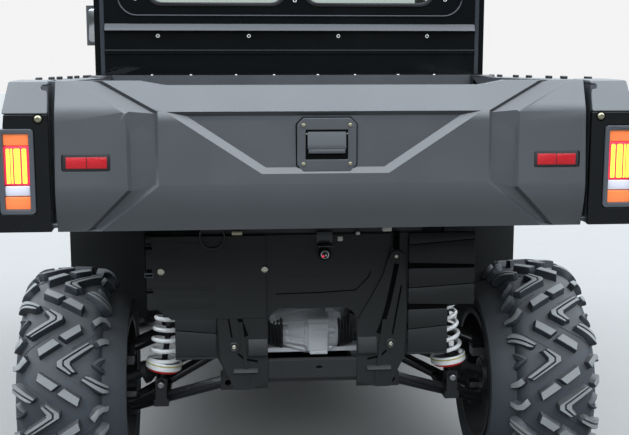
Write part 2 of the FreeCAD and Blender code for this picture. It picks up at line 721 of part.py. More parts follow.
# Gearcases of the axles: a ribbed cone, a drum and a flange with its bolt bosses
drum_radius = 52.0
flange_radius = 60.0
case_ribs = 8
flange_bosses = 6
for name, axle in axles.items():
    y = axle["y"]
    profile = [
        (-gearcase_half_width, 0), (-gearcase_half_width, 30), (-60, 34), (-12, drum_radius), (62, drum_radius),
        (62, flange_radius), (76, flange_radius), (76, 40), (gearcase_half_width, 34), (gearcase_half_width, 0),
    ]
    pieces = [placed(turned(profile, 0), 0, y, gearcase_z)]
    rib_outline = [(-88, 20), (-88, 36), (-22, drum_radius + 4), (20, drum_radius + 4), (20, 20)]
    rib_corners = [V(x, -3, radius) for x, radius in rib_outline]
    rib = Part.Face(Part.makePolygon(rib_corners + rib_corners[:1])).extrude(V(0, 6, 0))
    boss = rod((56, 0, flange_radius), (80, 0, flange_radius), 9.0)
    for piece, count in ((rib, case_ribs), (boss, flange_bosses)):
        for number in range(count):
            turned_piece = piece.copy()
            turned_piece.rotate(V(0, 0, 0), V(1, 0, 0), (number + 0.5) * 360.0 / count)
            pieces.append(placed(turned_piece, 0, y, gearcase_z))
    far = engine_y[0] - gap if name == "rear" else y - 150.0
    pieces.append(rod((25, y, gearcase_z), (25, far, gearcase_z), 26.0))
    pieces.append(block((-40, 60), (y - 30, y + 30), (rail_floor_z, gearcase_z - 30)))
    cradle_half = lower_rail_x + half_rail
    pieces.append(block((-cradle_half, cradle_half), (y - 30, y + 30), (rail_floor_z, rail_floor_z + 12)))
    keep(name + "_gearcase", fused(pieces))
skid_z = lower_rail_z - half_rail
keep("skid_plate", block((-185, 185), (frame_rear_y, frame_front_y), (skid_z - 4, skid_z)))

# Rear guard: a moulded sheet with louvred sides, two ribbed legs and a rounded opening for the gearcase
guard_top = 800.0
guard_half_width = 426.0
guard_low_half_width = 356.0
guard_step_z = 608.0
guard_low_z = 475.0
opening_half_width = 117.0
opening_top = 604.0
opening_corner = 40.0
leg_outer_x = 248.0
leg_foot_z = 390.0
relief = guard_depth / 2
sheet_outline = [
    (guard_half_width, guard_top), (guard_half_width, guard_step_z + 7), (guard_low_half_width, guard_step_z - 8),
    (guard_low_half_width, guard_low_z), (leg_outer_x, guard_low_z), (204, leg_foot_z), (168, leg_foot_z),
    (0, leg_foot_z), (0, guard_top),
]
sheet = rear_profile(sheet_outline, guard_y + relief, guard_y + guard_depth)
leg_outline = [
    (206, 764), (238, 746), (leg_outer_x, 582), (240, 470), (204, leg_foot_z), (168, leg_foot_z),
    (opening_half_width, leg_foot_z + 14), (opening_half_width, 570), (150, 625), (184, 690),
]
guard = [sheet, rear_profile(leg_outline, guard_y, guard_y + relief)]
# Each louvre is a wedge that stands out at its lower edge: upper and lower edge, and outer end
louvres = [
    (798, 782, guard_half_width), (780, 737, guard_half_width), (735, 692, guard_half_width),
    (690, 642, guard_half_width), (640, guard_step_z + 7, guard_half_width),
    (598, 560, guard_low_half_width), (558, 518, guard_low_half_width), (516, guard_low_z, guard_low_half_width),
]
for high, low, outer in louvres:
    wedge = [(guard_y + relief, high), (guard_y, low + 5), (guard_y, low), (guard_y + relief, low)]
    guard.append(side_profile(wedge, leg_outer_x + 2, outer))
leg_rib = [(164, 408), (173, 408), (192, 572), (183, 572)]
guard.append(rear_profile(leg_rib, guard_y - 3, guard_y))
guard = fused([piece for shape in guard for piece in both_sides(shape)])
field = [(-200, 798), (200, 798), (192, 735), (168, 704), (120, 690), (-120, 690), (-168, 704), (-192, 735)]
guard = guard.fuse(rear_profile(field, guard_y + relief - 4, guard_y + relief))
puck_x, puck_z, puck_radius = 217.0, 740.0, 16.0
guard = guard.fuse(rod((puck_x, guard_y - 5, puck_z), (puck_x, guard_y, puck_z), puck_radius))
opening_y = (guard_y - 10, guard_y + guard_depth + 1)
mouth = block((-opening_half_width, opening_half_width), opening_y, (leg_foot_z - 60, opening_top))
guard = guard.cut(rounded(mouth, V(0, 1, 0), opening_corner))
keep("rear_guard", guard.removeSplitter())
plate_outline = [(-411, 799), (-411, guard_step_z + 10), (-364, 582), (-121, 582), (-121, 799)]
keep("blank_plate", rear_profile(plate_outline, guard_y - 3, guard_y))
hitch_z = 439.0
hitch_radius = 9.0
hitch_top = 474.0
hitch_low = 400.0
bar_profile = [
    (guard_y, hitch_low), (guard_y, hitch_top - 5), (guard_y + 5, hitch_top), (guard_y + guard_depth, hitch_top),
    (guard_y + guard_depth, hitch_low),
]
hitch_bar = side_profile(bar_profile, 1 - opening_half_width, opening_half_width - 1)
hole = rod((0, guard_y - 1, hitch_z), (0, guard_y + guard_depth + 1, hitch_z), hitch_radius)
keep("hitch_bar", hitch_bar.cut(hole))

# Cargo bed: floor, front wall, hollow side walls, corner flanges and hinge pins
floor_low = bed_floor_top - bed_floor_thickness
bed_rear_y = tail_y + tailgate_thickness + 8.0
wall_skin = 10.0
cap_bottom = rail_top - cap_height
shoulder_x = bed_half_width - 28.0
rail_x = bed_half_width - 51.0
inner_wall_x = bed_inner_half_width + 38.0
wall_outline = [
    (bed_inner_half_width, floor_low), (bed_half_width, floor_low), (shoulder_x, cap_bottom + 1),
    (rail_x, rail_top), (bed_inner_half_width, rail_top),
]
wall_hollow = [
    (inner_wall_x, floor_low), (bed_half_width - wall_skin, floor_low), (shoulder_x - 8, cap_bottom - 4),
    (rail_x - 3, rail_top - 18), (inner_wall_x, rail_top - 18),
]
lamp_front_y = tail_y + corner_depth
wall = rear_profile(wall_outline, bed_rear_y, bed_front_y)
wall = wall.cut(rear_profile(wall_hollow, bed_rear_y - 1, bed_front_y - 12))
corner_z = (floor_low - 50, rail_top + 50)
corner_room = block((corner_inner_x - 0.01, bed_half_width + 50), (bed_rear_y - 10, lamp_front_y), corner_z)
flange_thickness = 12.0
flange_y = (tail_y + 20, lamp_front_y + 20)
flange = block((corner_inner_x, corner_inner_x + flange_thickness), flange_y, (floor_low, rail_top - 8))
wall = wall.cut(corner_room).fuse(flange)
hinge_y = tail_y + 32.0
hinge_z = tailgate_bottom + 10.0
pin_length = corner_inner_x - tailgate_half_width + 24.0
pin_tip = (corner_inner_x - pin_length, hinge_y, hinge_z)
pin = rod((corner_inner_x + 6, hinge_y, hinge_z), pin_tip, hinge_pin_radius)
inner_span = (-bed_inner_half_width, bed_inner_half_width)
floor_plate = block(inner_span, (bed_rear_y, bed_front_y), (floor_low, bed_floor_top))
bulkhead = block(inner_span, (bed_front_y - bed_wall_thickness, bed_front_y), (floor_low, bulkhead_top))
bed_shapes = [floor_plate, bulkhead] + both_sides(wall) + both_sides(pin)
# Stiffening ribs under the floor, beside the pivot straps
for x in (-420, -60, 60, 420):
    bed_shapes.append(block((x - 12, x + 12), (bed_rear_y + 40, bed_front_y - 40), (floor_low - 4, floor_low)))
strap_x = (upper_rail_x - half_rail - 22.0, upper_rail_x - half_rail - 6.0)
eye = rod((strap_x[0], bed_pivot_y, bed_pivot_z), (strap_x[1], bed_pivot_y, bed_pivot_z), 20.0)
strap = block(strap_x, (bed_pivot_y - 20, bed_pivot_y + 20), (bed_pivot_z, floor_low))
hole_ends = [(x, bed_pivot_y, bed_pivot_z) for x in (strap_x[0] - 1, strap_x[1] + 1)]
eye_hole = rod(*hole_ends, bed_pivot_radius + gap)
bed_shapes += both_sides(eye.fuse(strap).cut(eye_hole))
keep("bed_box", fused(bed_shapes))

# Lamp panels with the corner caps above them, and the tail lamps in their pockets
panel_outline = [
    (corner_inner_x, floor_low - 3), (bed_half_width, floor_low - 3), (shoulder_x, cap_bottom),
    (corner_inner_x, cap_bottom),
]
panel_hollow = [
    (corner_inner_x + 24, floor_low + 6), (bed_half_width - wall_skin, floor_low + 6),
    (shoulder_x - 8, cap_bottom - 10), (corner_inner_x + 24, cap_bottom - 10),
]
panel = rear_profile(panel_outline, tail_y + 4, lamp_front_y)
room_x = (corner_inner_x - 1, corner_inner_x + flange_thickness + gap)
room_y = (flange_y[0] - gap, lamp_front_y + 1)
lamp_x = (632.0, 708.0)
lamp_z = (913.0, 1099.0)
lamp_depth = 34.0
bezel_width = 11.0
lamp_corner = 8.0
lamp_room = rounded(block(lamp_x, (tail_y, tail_y + lamp_depth), lamp_z), V(0, 1, 0), lamp_corner)
hollow = rear_profile(panel_hollow, tail_y + lamp_depth + 12, lamp_front_y + 1)
keep("lamp_panels", both_sides(panel.cut([block(room_x, room_y, corner_z), hollow, lamp_room])))
cap_top = rail_top + 2.0
cap_outline = [(corner_inner_x, cap_bottom), (shoulder_x, cap_bottom), (rail_x, cap_top), (corner_inner_x, cap_top)]
cap = rear_profile(cap_outline, tail_y + 2, lamp_front_y)
cap_slope = [
    (tail_y - 5, cap_bottom), (tail_y + 2, cap_bottom), (tail_y + 26, cap_top + 1), (tail_y - 5, cap_top + 1),
]
flange_room = block(room_x, room_y, (corner_z[0], rail_top - 8 + gap))
keep("corner_caps", both_sides(cap.cut([side_profile(cap_slope, corner_inner_x - 1, bed_half_width), flange_room])))
inside_x = (lamp_x[0] + bezel_width, lamp_x[1] - bezel_width)
inside_z = (lamp_z[0] + bezel_width, lamp_z[1] - bezel_width)
bezel = lamp_room.cut(block(inside_x, (tail_y - 1, tail_y + lamp_depth - 6), inside_z))
keep("tail_lamps", both_sides(bezel))
# Lens segments from the top down: height of each
segments = [25.0, 84.0, 22.0, 27.0]
level = inside_z[1]
lens_gap = 2.0
for height in segments:
    keep("lamp_lenses", both_sides(block(inside_x, (tail_y + 5, tail_y + lamp_depth - 6), (level - height, level))))
    level -= height + lens_gap

# Tailgate: the section of its outer skin, as heights above its foot with the depth there
skin_section = [(0.0, 22.0), (101.0, 0.0), (259.0, 6.0), (326.0, 30.0)]


def skin_depth(z):
    """How far the tailgate's outer skin lies in from its outermost line at a height."""
    rise = z - tailgate_bottom
    for (low, low_depth), (high, high_depth) in zip(skin_section, skin_section[1:]):
        if rise <= high or high == skin_section[-1][0]:
            return low_depth + (rise - low) * (high_depth - low_depth) / (high - low)


def above_skin(z):
    return skin_depth(z) - 6.0


def vee_floor_depth(z):
    return skin_depth(z) + vee_depth


gate_front_y = tail_y + tailgate_thickness
section = [(tail_y + depth, tailgate_bottom + rise) for rise, depth in skin_section]
section += [(gate_front_y, tailgate_top), (gate_front_y, tailgate_bottom)]
gate = side_profile(section, -tailgate_half_width - 10, tailgate_half_width + 10)
dip_z = tailgate_top - tailgate_dip
half_outline = [
    (tailgate_half_width + 3, tailgate_bottom), (tailgate_half_width - 3, tailgate_top), (405, tailgate_top),
    (350, dip_z),
]
gate_outline = half_outline + [(-x, z) for x, z in reversed(half_outline)]
gate = gate.common(rear_profile(gate_outline, tail_y - 1, gate_front_y + 1))
# The vee shaped pocket with sloped sides
vee_mouth = [(345, 1133), (141, 997), (-141, 997), (-345, 1133)]
vee_floor = [(304, 1124), (132, 1010), (-132, 1010), (-304, 1124)]
rise_to_skin = 6.0
steep = [(x + (x - fx) * rise_to_skin / vee_depth, z + (z - fz) * rise_to_skin / vee_depth)
         for (x, z), (fx, fz) in zip(vee_mouth, vee_floor)]
gate = gate.cut(tapered(steep, vee_floor, above_skin, vee_floor_depth))
# On each side a sunk band between two kinked lines, which fades into the top bevel on its outer side
inner_line = [(492, 1204), (366, 1134), (366, 973), (497, 870)]
outer_line = [(566, 1204), (436, 1130), (434, 964), (527, 870)]
band_wall = 6.0


def beside(line, distance):
    """The line's (x, z) points moved sideways, to the left of its run for a distance over zero."""
    points = [V(x, 0, z) for x, z in line]
    ways = [(b - a).normalize() for a, b in zip(points, points[1:])]
    moved = []
    for point, before, after in zip(points, ways[:1] + ways, ways + ways[-1:]):
        middle = (before + after).normalize()
        side = V(-middle.z, 0, middle.x) * (distance / middle.dot(before))
        moved.append((point.x + side.x, point.z + side.z))
    return moved


band_sections = []
fade = [0.0, crease_depth, crease_depth, crease_depth]
corners = zip(inner_line, beside(inner_line, band_wall), beside(outer_line, -band_wall), outer_line, fade)
for (in_x, in_z), (low_x, low_z), (far_x, far_z), (out_x, out_z), depth in corners:
    section = [
        V(in_x, tail_y - 10, in_z), V(in_x, tail_y + skin_depth(in_z) - 0.05, in_z),
        V(low_x, tail_y + skin_depth(low_z) + crease_depth, low_z),
        V(far_x, tail_y + skin_depth(far_z) + depth, far_z),
        V(out_x, tail_y + skin_depth(out_z) - 0.05, out_z), V(out_x, tail_y - 10, out_z),
    ]
    band_sections.append(Part.makePolygon(section + section[:1]))
gate = gate.cut(both_sides(Part.makeLoft(band_sections, True, True)))
bore_end = (corner_inner_x - pin_length - 1, hinge_y, hinge_z)
hinge_bore = rod((tailgate_half_width + 10, hinge_y, hinge_z), bore_end, hinge_pin_radius + gap)
latch_x = (-63.0, 69.0)
latch_z = (1001.0, 1119.0)
latch_corner = 14.0
latch_block = block(latch_x, (tail_y - 5, tail_y + latch_depth), latch_z)
corners = [e for e in latch_block.Edges if abs(e.tangentAt(e.FirstParameter).y) > 0.99]
latch_room = latch_block.makeChamfer(latch_corner, corners)
mark_x = (470.0, 572.0)
mark_z = (1006.0, 1043.0)
mark = rounded(block(mark_x, (tail_y + 0.5, tail_y + 10), mark_z), V(0, 1, 0), 5.0)
mark_room = rounded(block(mark_x, (tail_y - 5, tail_y + 10), mark_z), V(0, 1, 0), 5.0)
keep("tailgate_panel", gate.cut([latch_room] + both_sides(mark_room) + both_sides(hinge_bore)))
keep("reflectors", both_sides(mark))
# Latch: a chamfered plate with a mouth, the paddle in its upper part and a lip below the paddle
plate_face = tail_y + 8.0
latch_plate = latch_room.common(block(latch_x, (plate_face, tail_y + latch_depth), latch_z))
mouth = block((-44, 50), (tail_y, tail_y + latch_depth - 5), (1027, 1093))
paddle = side_profile([(plate_face + 2, 1091), (plate_face - 3, 1060), (plate_face - 3, 1050), (plate_face + 7, 1050),
                       (plate_face + 12, 1091)], -40, 46)
paddle_root = block((-40, 46), (plate_face + 2, tail_y + latch_depth - 5), (1082, 1093))
keep("tailgate_latch", fused([latch_plate.cut(mouth), paddle, paddle_root]))

# Cab frame of round tubes
loop = [
    (cab_tube_x, cab_front_post_y, rail_floor_z), (cab_tube_x, cab_front_post_y, waist_z),
    (cab_tube_x, windscreen_top_y, tube_top_z), (cab_tube_x, cab_rear_post_y, tube_top_z),
    (cab_tube_x, cab_rear_post_y, rail_floor_z),
]
hoop = bent_tube(loop, cab_tube_radius, 70.0)
cab_tubes = both_sides(hoop)
# Cross tubes: place along the vehicle and height
cross_tubes = [
    (windscreen_top_y - 70, tube_top_z), (cab_rear_post_y + 70, tube_top_z), (cab_rear_post_y, ledge_z + 9),
    (cab_front_post_y, waist_z - 100),
]
for y, z in cross_tubes:
    cab_tubes.append(rod((-cab_tube_x, y, z), (cab_tube_x, y, z), 18.0))
door_outer_x = door_inner_x + door_thickness
door_axis_x = door_outer_x + 2.0 + hinge_from_skin
door_axis_y = door_front_y + hinge_from_door
# Door hinges: middle height of each
hinge_levels = [door_bottom + 130.0, door_belt_z - 110.0]
barrel_half = 20.0
for level in hinge_levels:
    for low, high in ((level - 30, level - barrel_half - 0.5), (level + barrel_half + 0.5, level + 30)):
        leaf_x = (cab_tube_x + 18, door_axis_x + hinge_radius)
        cab_tubes += both_sides(block(leaf_x, (door_axis_y - 6, cab_front_post_y + 10), (low, high)))
    pivot = rod((door_axis_x, door_axis_y, level - 30), (door_axis_x, door_axis_y, level + 30), hinge_pin)
    cab_tubes += both_sides(pivot)
keep("cab_frame", fused(cab_tubes))

# Roof: a slab with rounded edges and a raised middle
roof_low = tube_top_z + cab_tube_radius + gap
roof_top = roof_low + roof_thickness
roof_front_y = windscreen_top_y + 38.0
roof_rear_y = cab_rear_y - 36.0
roof_step = 9.0
roof_edge_z = roof_top - roof_step
roof_x = (-roof_half_width, roof_half_width)
edge_slab = rounded_slab(roof_x, (roof_rear_y, roof_front_y), (roof_low, roof_edge_z), 70.0)
top_edges = [e for e in edge_slab.Edges if e.BoundBox.ZMin > roof_edge_z - 1]
edge_slab = edge_slab.makeFillet(0.35 * roof_thickness, top_edges)
middle_x = (95 - roof_half_width, roof_half_width - 95)
middle_slab = rounded_slab(middle_x, (roof_rear_y + 90, roof_front_y - 90), (roof_low + 10, roof_top), 60.0)
top_edges = [e for e in middle_slab.Edges if e.BoundBox.ZMin > roof_top - 1]
keep("roof", edge_slab.fuse(middle_slab.makeFillet(0.8 * roof_step, top_edges)))

# Rear panel of the cab: two windows in a sunk field, a ledge, a bead and stepped edges
panel_y = (cab_rear_y, cab_rear_y + cab_panel_thickness)
panel_waist_z = side_top + gap
wall_shape = [
    (-cab_half_width, roof_low - gap), (cab_half_width, roof_low - gap), (cab_half_width, panel_waist_z),
    (door_inner_x - gap, panel_waist_z), (door_inner_x - gap, cab_bottom), (gap - door_inner_x, cab_bottom),
    (gap - door_inner_x, panel_waist_z), (-cab_half_width, panel_waist_z),
]
post_band_x = 615.0
ledge_half_width = 599.0
field_half_width = 555.0
field_low = ledge_z + 48.0
rear_wall = rear_profile(wall_shape, *panel_y)
outer_step = block((post_band_x, cab_half_width + 1), (panel_y[0] - 1, panel_y[0] + 6), (panel_waist_z - 1, roof_low))
sunk = block((-field_half_width, field_half_width), (panel_y[0] - 1, panel_y[0] + 3), (field_low, tube_top_z - 30))
rear_wall = rear_wall.cut(both_sides(outer_step) + [rounded(sunk, V(0, 1, 0), 60.0)])
# Rear windows: left and right edge of each
window_spans = [(-460.0, -23.0), (41.0, 460.0)]
window_z = (rear_window_low, tube_top_z - 80.0)
pane_y = (panel_y[0] + 10, panel_y[0] + 10 + glass_thickness)
for span in window_spans:
    opening = rounded(block(span, (panel_y[0] - 1, panel_y[1] + 1), window_z), V(0, 1, 0), 45.0)
    rear_wall = rear_wall.cut(opening)
    keep("rear_windows", opening.common(block(span, pane_y, window_z)))
ledge_y = panel_y[0] - 12
ledge_profile = [(panel_y[0], ledge_z), (ledge_y, ledge_z), (ledge_y, ledge_z + 12), (panel_y[0], ledge_z + 21)]
ledge = side_profile(ledge_profile, -ledge_half_width, ledge_half_width)
bead_z = ledge_z - 74.0
bead = block((-ledge_half_width, ledge_half_width), (panel_y[0] - 5, panel_y[0]), (bead_z, bead_z + 12))
keep("cab_rear_panel", fused([rear_wall, ledge, bead]))

# Windscreen between the front posts
lean_way = V(0, windscreen_top_y - cab_front_post_y, tube_top_z - waist_z).normalize()
foot = V(0, cab_front_post_y, waist_z) + lean_way * 45
head = V(0, windscreen_top_y, tube_top_z) - lean_way * 55
across = V(0, lean_way.z, -lean_way.y) * (glass_thickness / 2)
corners = [foot + across, head + across, head - across, foot - across]
half_glass = cab_tube_x - cab_tube_radius - gap
keep("windscreen", side_profile([(p.y, p.z) for p in corners], -half_glass, half_glass))

# Floor with the seat deck
tub_half_width = 552.0
wall = 18.0
tub_low = rail_floor_z + gap
tub_floor = tub_low + 20.0
deck_rear_y = cab_rear_y + 78.0
deck_front_y = seat_front_y - 90.0
tub_front_y = cab_front_post_y - cab_tube_radius - 2
dash_foot_z = waist_z - 200.0
tub_outline = [
    (tub_front_y, tub_low), (tub_front_y, dash_foot_z), (tub_front_y - wall, dash_foot_z),
    (tub_front_y - wall, tub_floor), (deck_front_y, tub_floor), (deck_front_y, seat_deck_z),
    (deck_rear_y, seat_deck_z), (deck_rear_y, tub_low), (deck_rear_y + wall, tub_low),
    (deck_rear_y + wall, seat_deck_z - wall), (deck_front_y - wall, seat_deck_z - wall),
    (deck_front_y - wall, tub_low),
]
keep("floor_tub", side_profile(tub_outline, -tub_half_width, tub_half_width))

# Dashboard with a hooded binnacle before the driver, and the steering column into it
dash_outline = [
    (tub_front_y, dash_foot_z), (tub_front_y, waist_z - 8), (cab_front_post_y - 90, waist_z + 12),
    (cab_front_post_y - 180, waist_z), (cab_front_post_y - 210, waist_z - 80),
    (cab_front_post_y - 170, waist_z - 190),
]
dash = side_profile(dash_outline, 2 - tub_half_width, tub_half_width - 2)
binnacle_outline = [
    (cab_front_post_y - 190, waist_z - 30), (cab_front_post_y - 205, waist_z + 48),
    (cab_front_post_y - 150, waist_z + 56), (cab_front_post_y - 90, waist_z + 10),
    (cab_front_post_y - 90, waist_z - 30),
]
binnacle = side_profile(binnacle_outline, driver_x - 120, driver_x + 120)
dash = dash.fuse(binnacle).removeSplitter()
keep("dashboard", dash)
hub_clearance = 30.0 + gap
column_length = 330.0
column_foot = wheel_middle - column_way * (column_length + hub_clearance)
column = Part.makeCylinder(column_radius, column_length, column_foot, column_way).cut(dash)
keep("steering_column", max(column.Solids, key=lambda piece: -piece.BoundBox.YMin))

# Seats: left and right edge of each
back_foot = cab_rear_y + 84.0
for low, high in ((-545.0, -75.0), (75.0, 545.0)):
    cushion_z = (seat_deck_z + gap, seat_deck_z + seat_height)
    keep("seat_cushions", rounded_slab((low, high), (seat_rear_y, seat_front_y), cushion_z, 40.0))
    back_outline = [
        (back_foot, cushion_z[0]), (seat_rear_y - 50, cushion_z[0]), (seat_rear_y - 10, cushion_z[1] + 10),
        (seat_rear_y - 78, cushion_z[1] + seat_back_height), (back_foot, cushion_z[1] + seat_back_height),
    ]
    keep("seat_backs", side_profile(back_outline, low + 15, high - 15))

# Doors with their window glass, handle, sunk lower field and hinge barrels
door_head_y = door_front_y - post_lean * (door_top - waist_z)
door_outline = [
    (door_rear_y, door_bottom), (door_front_y, door_bottom), (door_front_y, waist_z), (door_head_y, door_top),
    (door_rear_y, door_top),
]
window_top = door_top - door_border
window_front = door_front_y - door_border
window_outline = [
    (door_rear_y + door_border, door_belt_z), (window_front - post_lean * (door_belt_z - waist_z), door_belt_z),
    (window_front - post_lean * (window_top - waist_z), window_top), (door_rear_y + door_border, window_top),
]
field_top = door_belt_z - 150.0
field_outline = [
    (door_rear_y + 90, door_bottom + 80), (door_front_y - 150, door_bottom + 80),
    (door_front_y - 90, door_bottom + 160), (door_front_y - 90, field_top - 60), (door_rear_y + 90, field_top),
]
door = side_profile(door_outline, door_inner_x, door_outer_x)
door = door.cut(side_profile(window_outline, door_inner_x - 1, door_outer_x + 1))
door = door.cut(side_profile(field_outline, door_outer_x - 4, door_outer_x + 1))
handle_y = (door_rear_y + 50, door_rear_y + 170)
handle_z = (door_belt_z - 90, door_belt_z - 60)
handle = rounded(block((door_outer_x, door_outer_x + 16), handle_y, handle_z), V(0, 0, 1), 7.0)
door = door.fuse(handle)
for level in hinge_levels:
    barrel_ends = [(door_axis_x, door_axis_y, level + way * barrel_half) for way in (-1, 1)]
    leaf_z = (level - barrel_half, level + barrel_half)
    leaf = block((door_outer_x, door_outer_x + 6), (door_front_y - 70, door_axis_y), leaf_z)
    bore = rod((door_axis_x, door_axis_y, level - 21), (door_axis_x, door_axis_y, level + 21), hinge_pin + gap)
    door = door.fuse([rod(*barrel_ends, hinge_radius), leaf]).cut(bore)
pane_x = (door_outer_x - 14 - glass_thickness, door_outer_x - 14)
pane = side_profile(window_outline, *pane_x)
keep("door_right", door)
keep("door_left", mirrored(door))
keep("door_right_glass", pane)
keep("door_left_glass", mirrored(pane))

# Side panels: rear quarter and sill below each door
panel_skin = 8.0
sill_low = 340.0
door_clearance = 8.0
side_outline = [
    (side_panel_rear_y, sill_low + 58), (side_panel_rear_y, side_top), (cab_rear_y + 34, side_top),
    (door_rear_y - door_clearance, door_bottom - door_clearance), (door_front_y + 30, door_bottom - door_clearance),
    (door_front_y + 44, sill_low + 58), (door_front_y + 30, sill_low), (side_panel_rear_y + 130, sill_low),
]
side_solid = side_profile(side_outline, door_inner_x, body_half_width)
inner_sill = door_bottom - door_clearance - panel_skin
inner_outline = [
    (side_panel_rear_y + panel_skin, sill_low - 10), (side_panel_rear_y + panel_skin, side_top - panel_skin),
    (cab_rear_y + 26, side_top - panel_skin), (door_rear_y - 16, inner_sill), (door_front_y + 22, inner_sill),
    (door_front_y + 22, sill_low - 10),
]
side_solid = side_solid.cut(side_profile(inner_outline, door_inner_x - 1, body_half_width - panel_skin))
arch_front_x = (rear_wheel_x - rear_tyre_width / 2, door_inner_x + 1)
arch_front = block(arch_front_x, (side_panel_rear_y, side_panel_rear_y + panel_skin), (lower_rail_z + 35, side_top))
keep("side_panels", both_sides(side_solid.fuse(arch_front)))

# Front fenders with their arches
fender_rear_y = cab_front_post_y - 10.0
fender_foot_z = 480.0
fender_rear_z = cowl_z - 26.0
fender_outline = [
    (fender_rear_y, fender_foot_z), (fender_rear_y, fender_rear_z), (cowl_y, cowl_z), (brow_y, brow_z),
    (face_y, brow_z - 64), (face_y, brow_z - 304), (face_y - 46, brow_z - 404), (face_y - 146, brow_z - 404),
    (front_axle_y - 80, fender_foot_z),
]
skin = fender_skin
fender_inner = [
    (fender_rear_y + skin, 300), (fender_rear_y + skin, fender_rear_z - skin), (cowl_y, cowl_z - skin),
    (brow_y - 4, brow_z - skin), (face_y - skin, brow_z - 66), (face_y - skin, 300),
]
fender = side_profile(fender_outline, flange_x, fender_half_width)
fender = fender.cut(side_profile(fender_inner, flange_x - 1, fender_half_width - skin))
arch = rod((0, front_axle_y, axle_z), (fender_half_width + 50, front_axle_y, axle_z), arch_radius)
cab_room_x = cab_half_width + 32
cab_room = block((0, cab_room_x), (cab_front_post_y - 50, cab_front_post_y + 34), (300, cowl_z + 100))
bonnet_slope = (brow_z - cowl_z) / (brow_y - cowl_y)
flange_outline = [
    (cab_front_post_y + 50, cowl_z - 78), (cab_front_post_y + 50, cowl_z - 21), (cowl_y, cowl_z - 5),
    (brow_y - 4, brow_z - 4), (brow_y - 4, brow_z - 74),
]
flange = side_profile(flange_outline, flange_x, flange_x + skin)
bonnet_axis = (cowl_y + 15.0, cowl_z - 12.0)
bonnet_pin = rod((flange_x + 4, *bonnet_axis), (bonnet_half_width - 20, *bonnet_axis), 5.0)
headlamp_outline = [
    (430, brow_z - 104), (628, brow_z - 96), (650, brow_z - 130), (612, brow_z - 204), (445, brow_z - 184),
]
lamp_pocket = rear_profile(headlamp_outline, face_y - 46, face_y + 1)
keep("fenders", both_sides(fused([fender.cut([arch, cab_room, lamp_pocket]), flange, bonnet_pin])))
keep("headlamps", both_sides(rear_profile(headlamp_outline, face_y - 50, face_y - 3)))

# Cowl, bonnet and nose
inner_half = flange_x - gap
cowl_rear_y = cab_front_post_y + 36.0
cowl_profile = [
    (cowl_rear_y, cowl_z - 18), (cowl_y - 4, cowl_z - 1), (cowl_y - 4, cowl_z - 13), (cowl_rear_y, cowl_z - 30),
]
keep("cowl", side_profile(cowl_profile, -inner_half, inner_half))


def bonnet_z(y):
    """Height of the bonnet's upper skin at a place along the vehicle."""
    return cowl_z + bonnet_slope * (y - cowl_y)


bonnet_y = (cowl_y + 8.0, brow_y - 4.0)
bonnet_profile = [(y, bonnet_z(y)) for y in bonnet_y]
bonnet_profile += [(y, bonnet_z(y) - bonnet_thickness) for y in reversed(bonnet_y)]
bonnet = side_profile(bonnet_profile, -bonnet_half_width, bonnet_half_width)
hood_bore = rod((bonnet_half_width + 1, *bonnet_axis), (bonnet_half_width - 22, *bonnet_axis), 5.0 + gap)
sunk_y = (bonnet_y[0] + 70, bonnet_y[1] - 60)
sunk_profile = [(y, bonnet_z(y) + 5) for y in sunk_y] + [(y, bonnet_z(y) - 4) for y in reversed(sunk_y)]
sunk_field = side_profile(sunk_profile, 120 - bonnet_half_width, bonnet_half_width - 120)
keep("bonnet", bonnet.cut(both_sides(hood_bore) + [sunk_field]))
nose_face = face_y - 4.0
nose_high = brow_z - 69.0
nose_profile = [
    (nose_face - 34, nose_high + 50), (nose_face, nose_high), (nose_face, nose_high - 245),
    (nose_face - 42, nose_high - 315), (nose_face - 54, nose_high - 315),
    (nose_face - nose_skin, nose_high - 241), (nose_face - nose_skin, nose_high - 5),
    (nose_face - 44, nose_high + 40),
]
nose = side_profile(nose_profile, -inner_half, inner_half)
# Grille slots, each narrower than the one above
slot_pitch = 36.0
slots = []
for number in range(5):
    low = nose_high - 55 - number * slot_pitch
    reach = 320 - 16 * number
    slots.append(block((-reach, reach), (nose_face - 60, nose_face + 8), (low, low + 22)))
keep("nose_panel", nose.cut(slots))

# Front bumper of bent tube
bumper_y = nose_y - bumper_tube_radius
bumper_root = (lower_rail_x, frame_front_y + gap, lower_rail_z)
half_bumper = [
    bumper_root, (lower_rail_x, bumper_y - 36, lower_rail_z), (bumper_half_width, bumper_y, lower_rail_z + 105),
    (bumper_half_width, bumper_y, bumper_top_z),
]
other_half = [(-x, y, z) for x, y, z in half_bumper]
keep("front_bumper", bent_tube(other_half + half_bumper[::-1], bumper_tube_radius, 45.0))

# Mirrors on arms from the front posts
mirror_arm_z = waist_z + 250.0
mirror_z = (mirror_arm_z - 40, mirror_arm_z + 120)
mirror_y = (cab_front_post_y - 50, cab_front_post_y - 10)
arm_root_y = cab_front_post_y - post_lean * (mirror_arm_z - waist_z)
mirror_arm = rod((cab_tube_x + 10, arm_root_y, mirror_arm_z), (700, mirror_y[0] + 18, mirror_arm_z), 9.0)
mirror_head = rounded_slab((662, 750), mirror_y, mirror_z, 12.0)
keep("mirrors", both_sides(mirror_arm.fuse(mirror_head).cut(hoop)))

os.makedirs("parts", exist_ok=True)
for name, shapes in sorted(parts.items()):
    solids = [solid for shape in shapes for solid in shape.Solids]
    whole = solids[0] if len(solids) == 1 else Part.makeCompound(solids)
    whole.exportStep(os.path.join("parts", name + ".step"))
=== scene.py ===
import json
import math

import bpy
from mathutils import Matrix, Vector

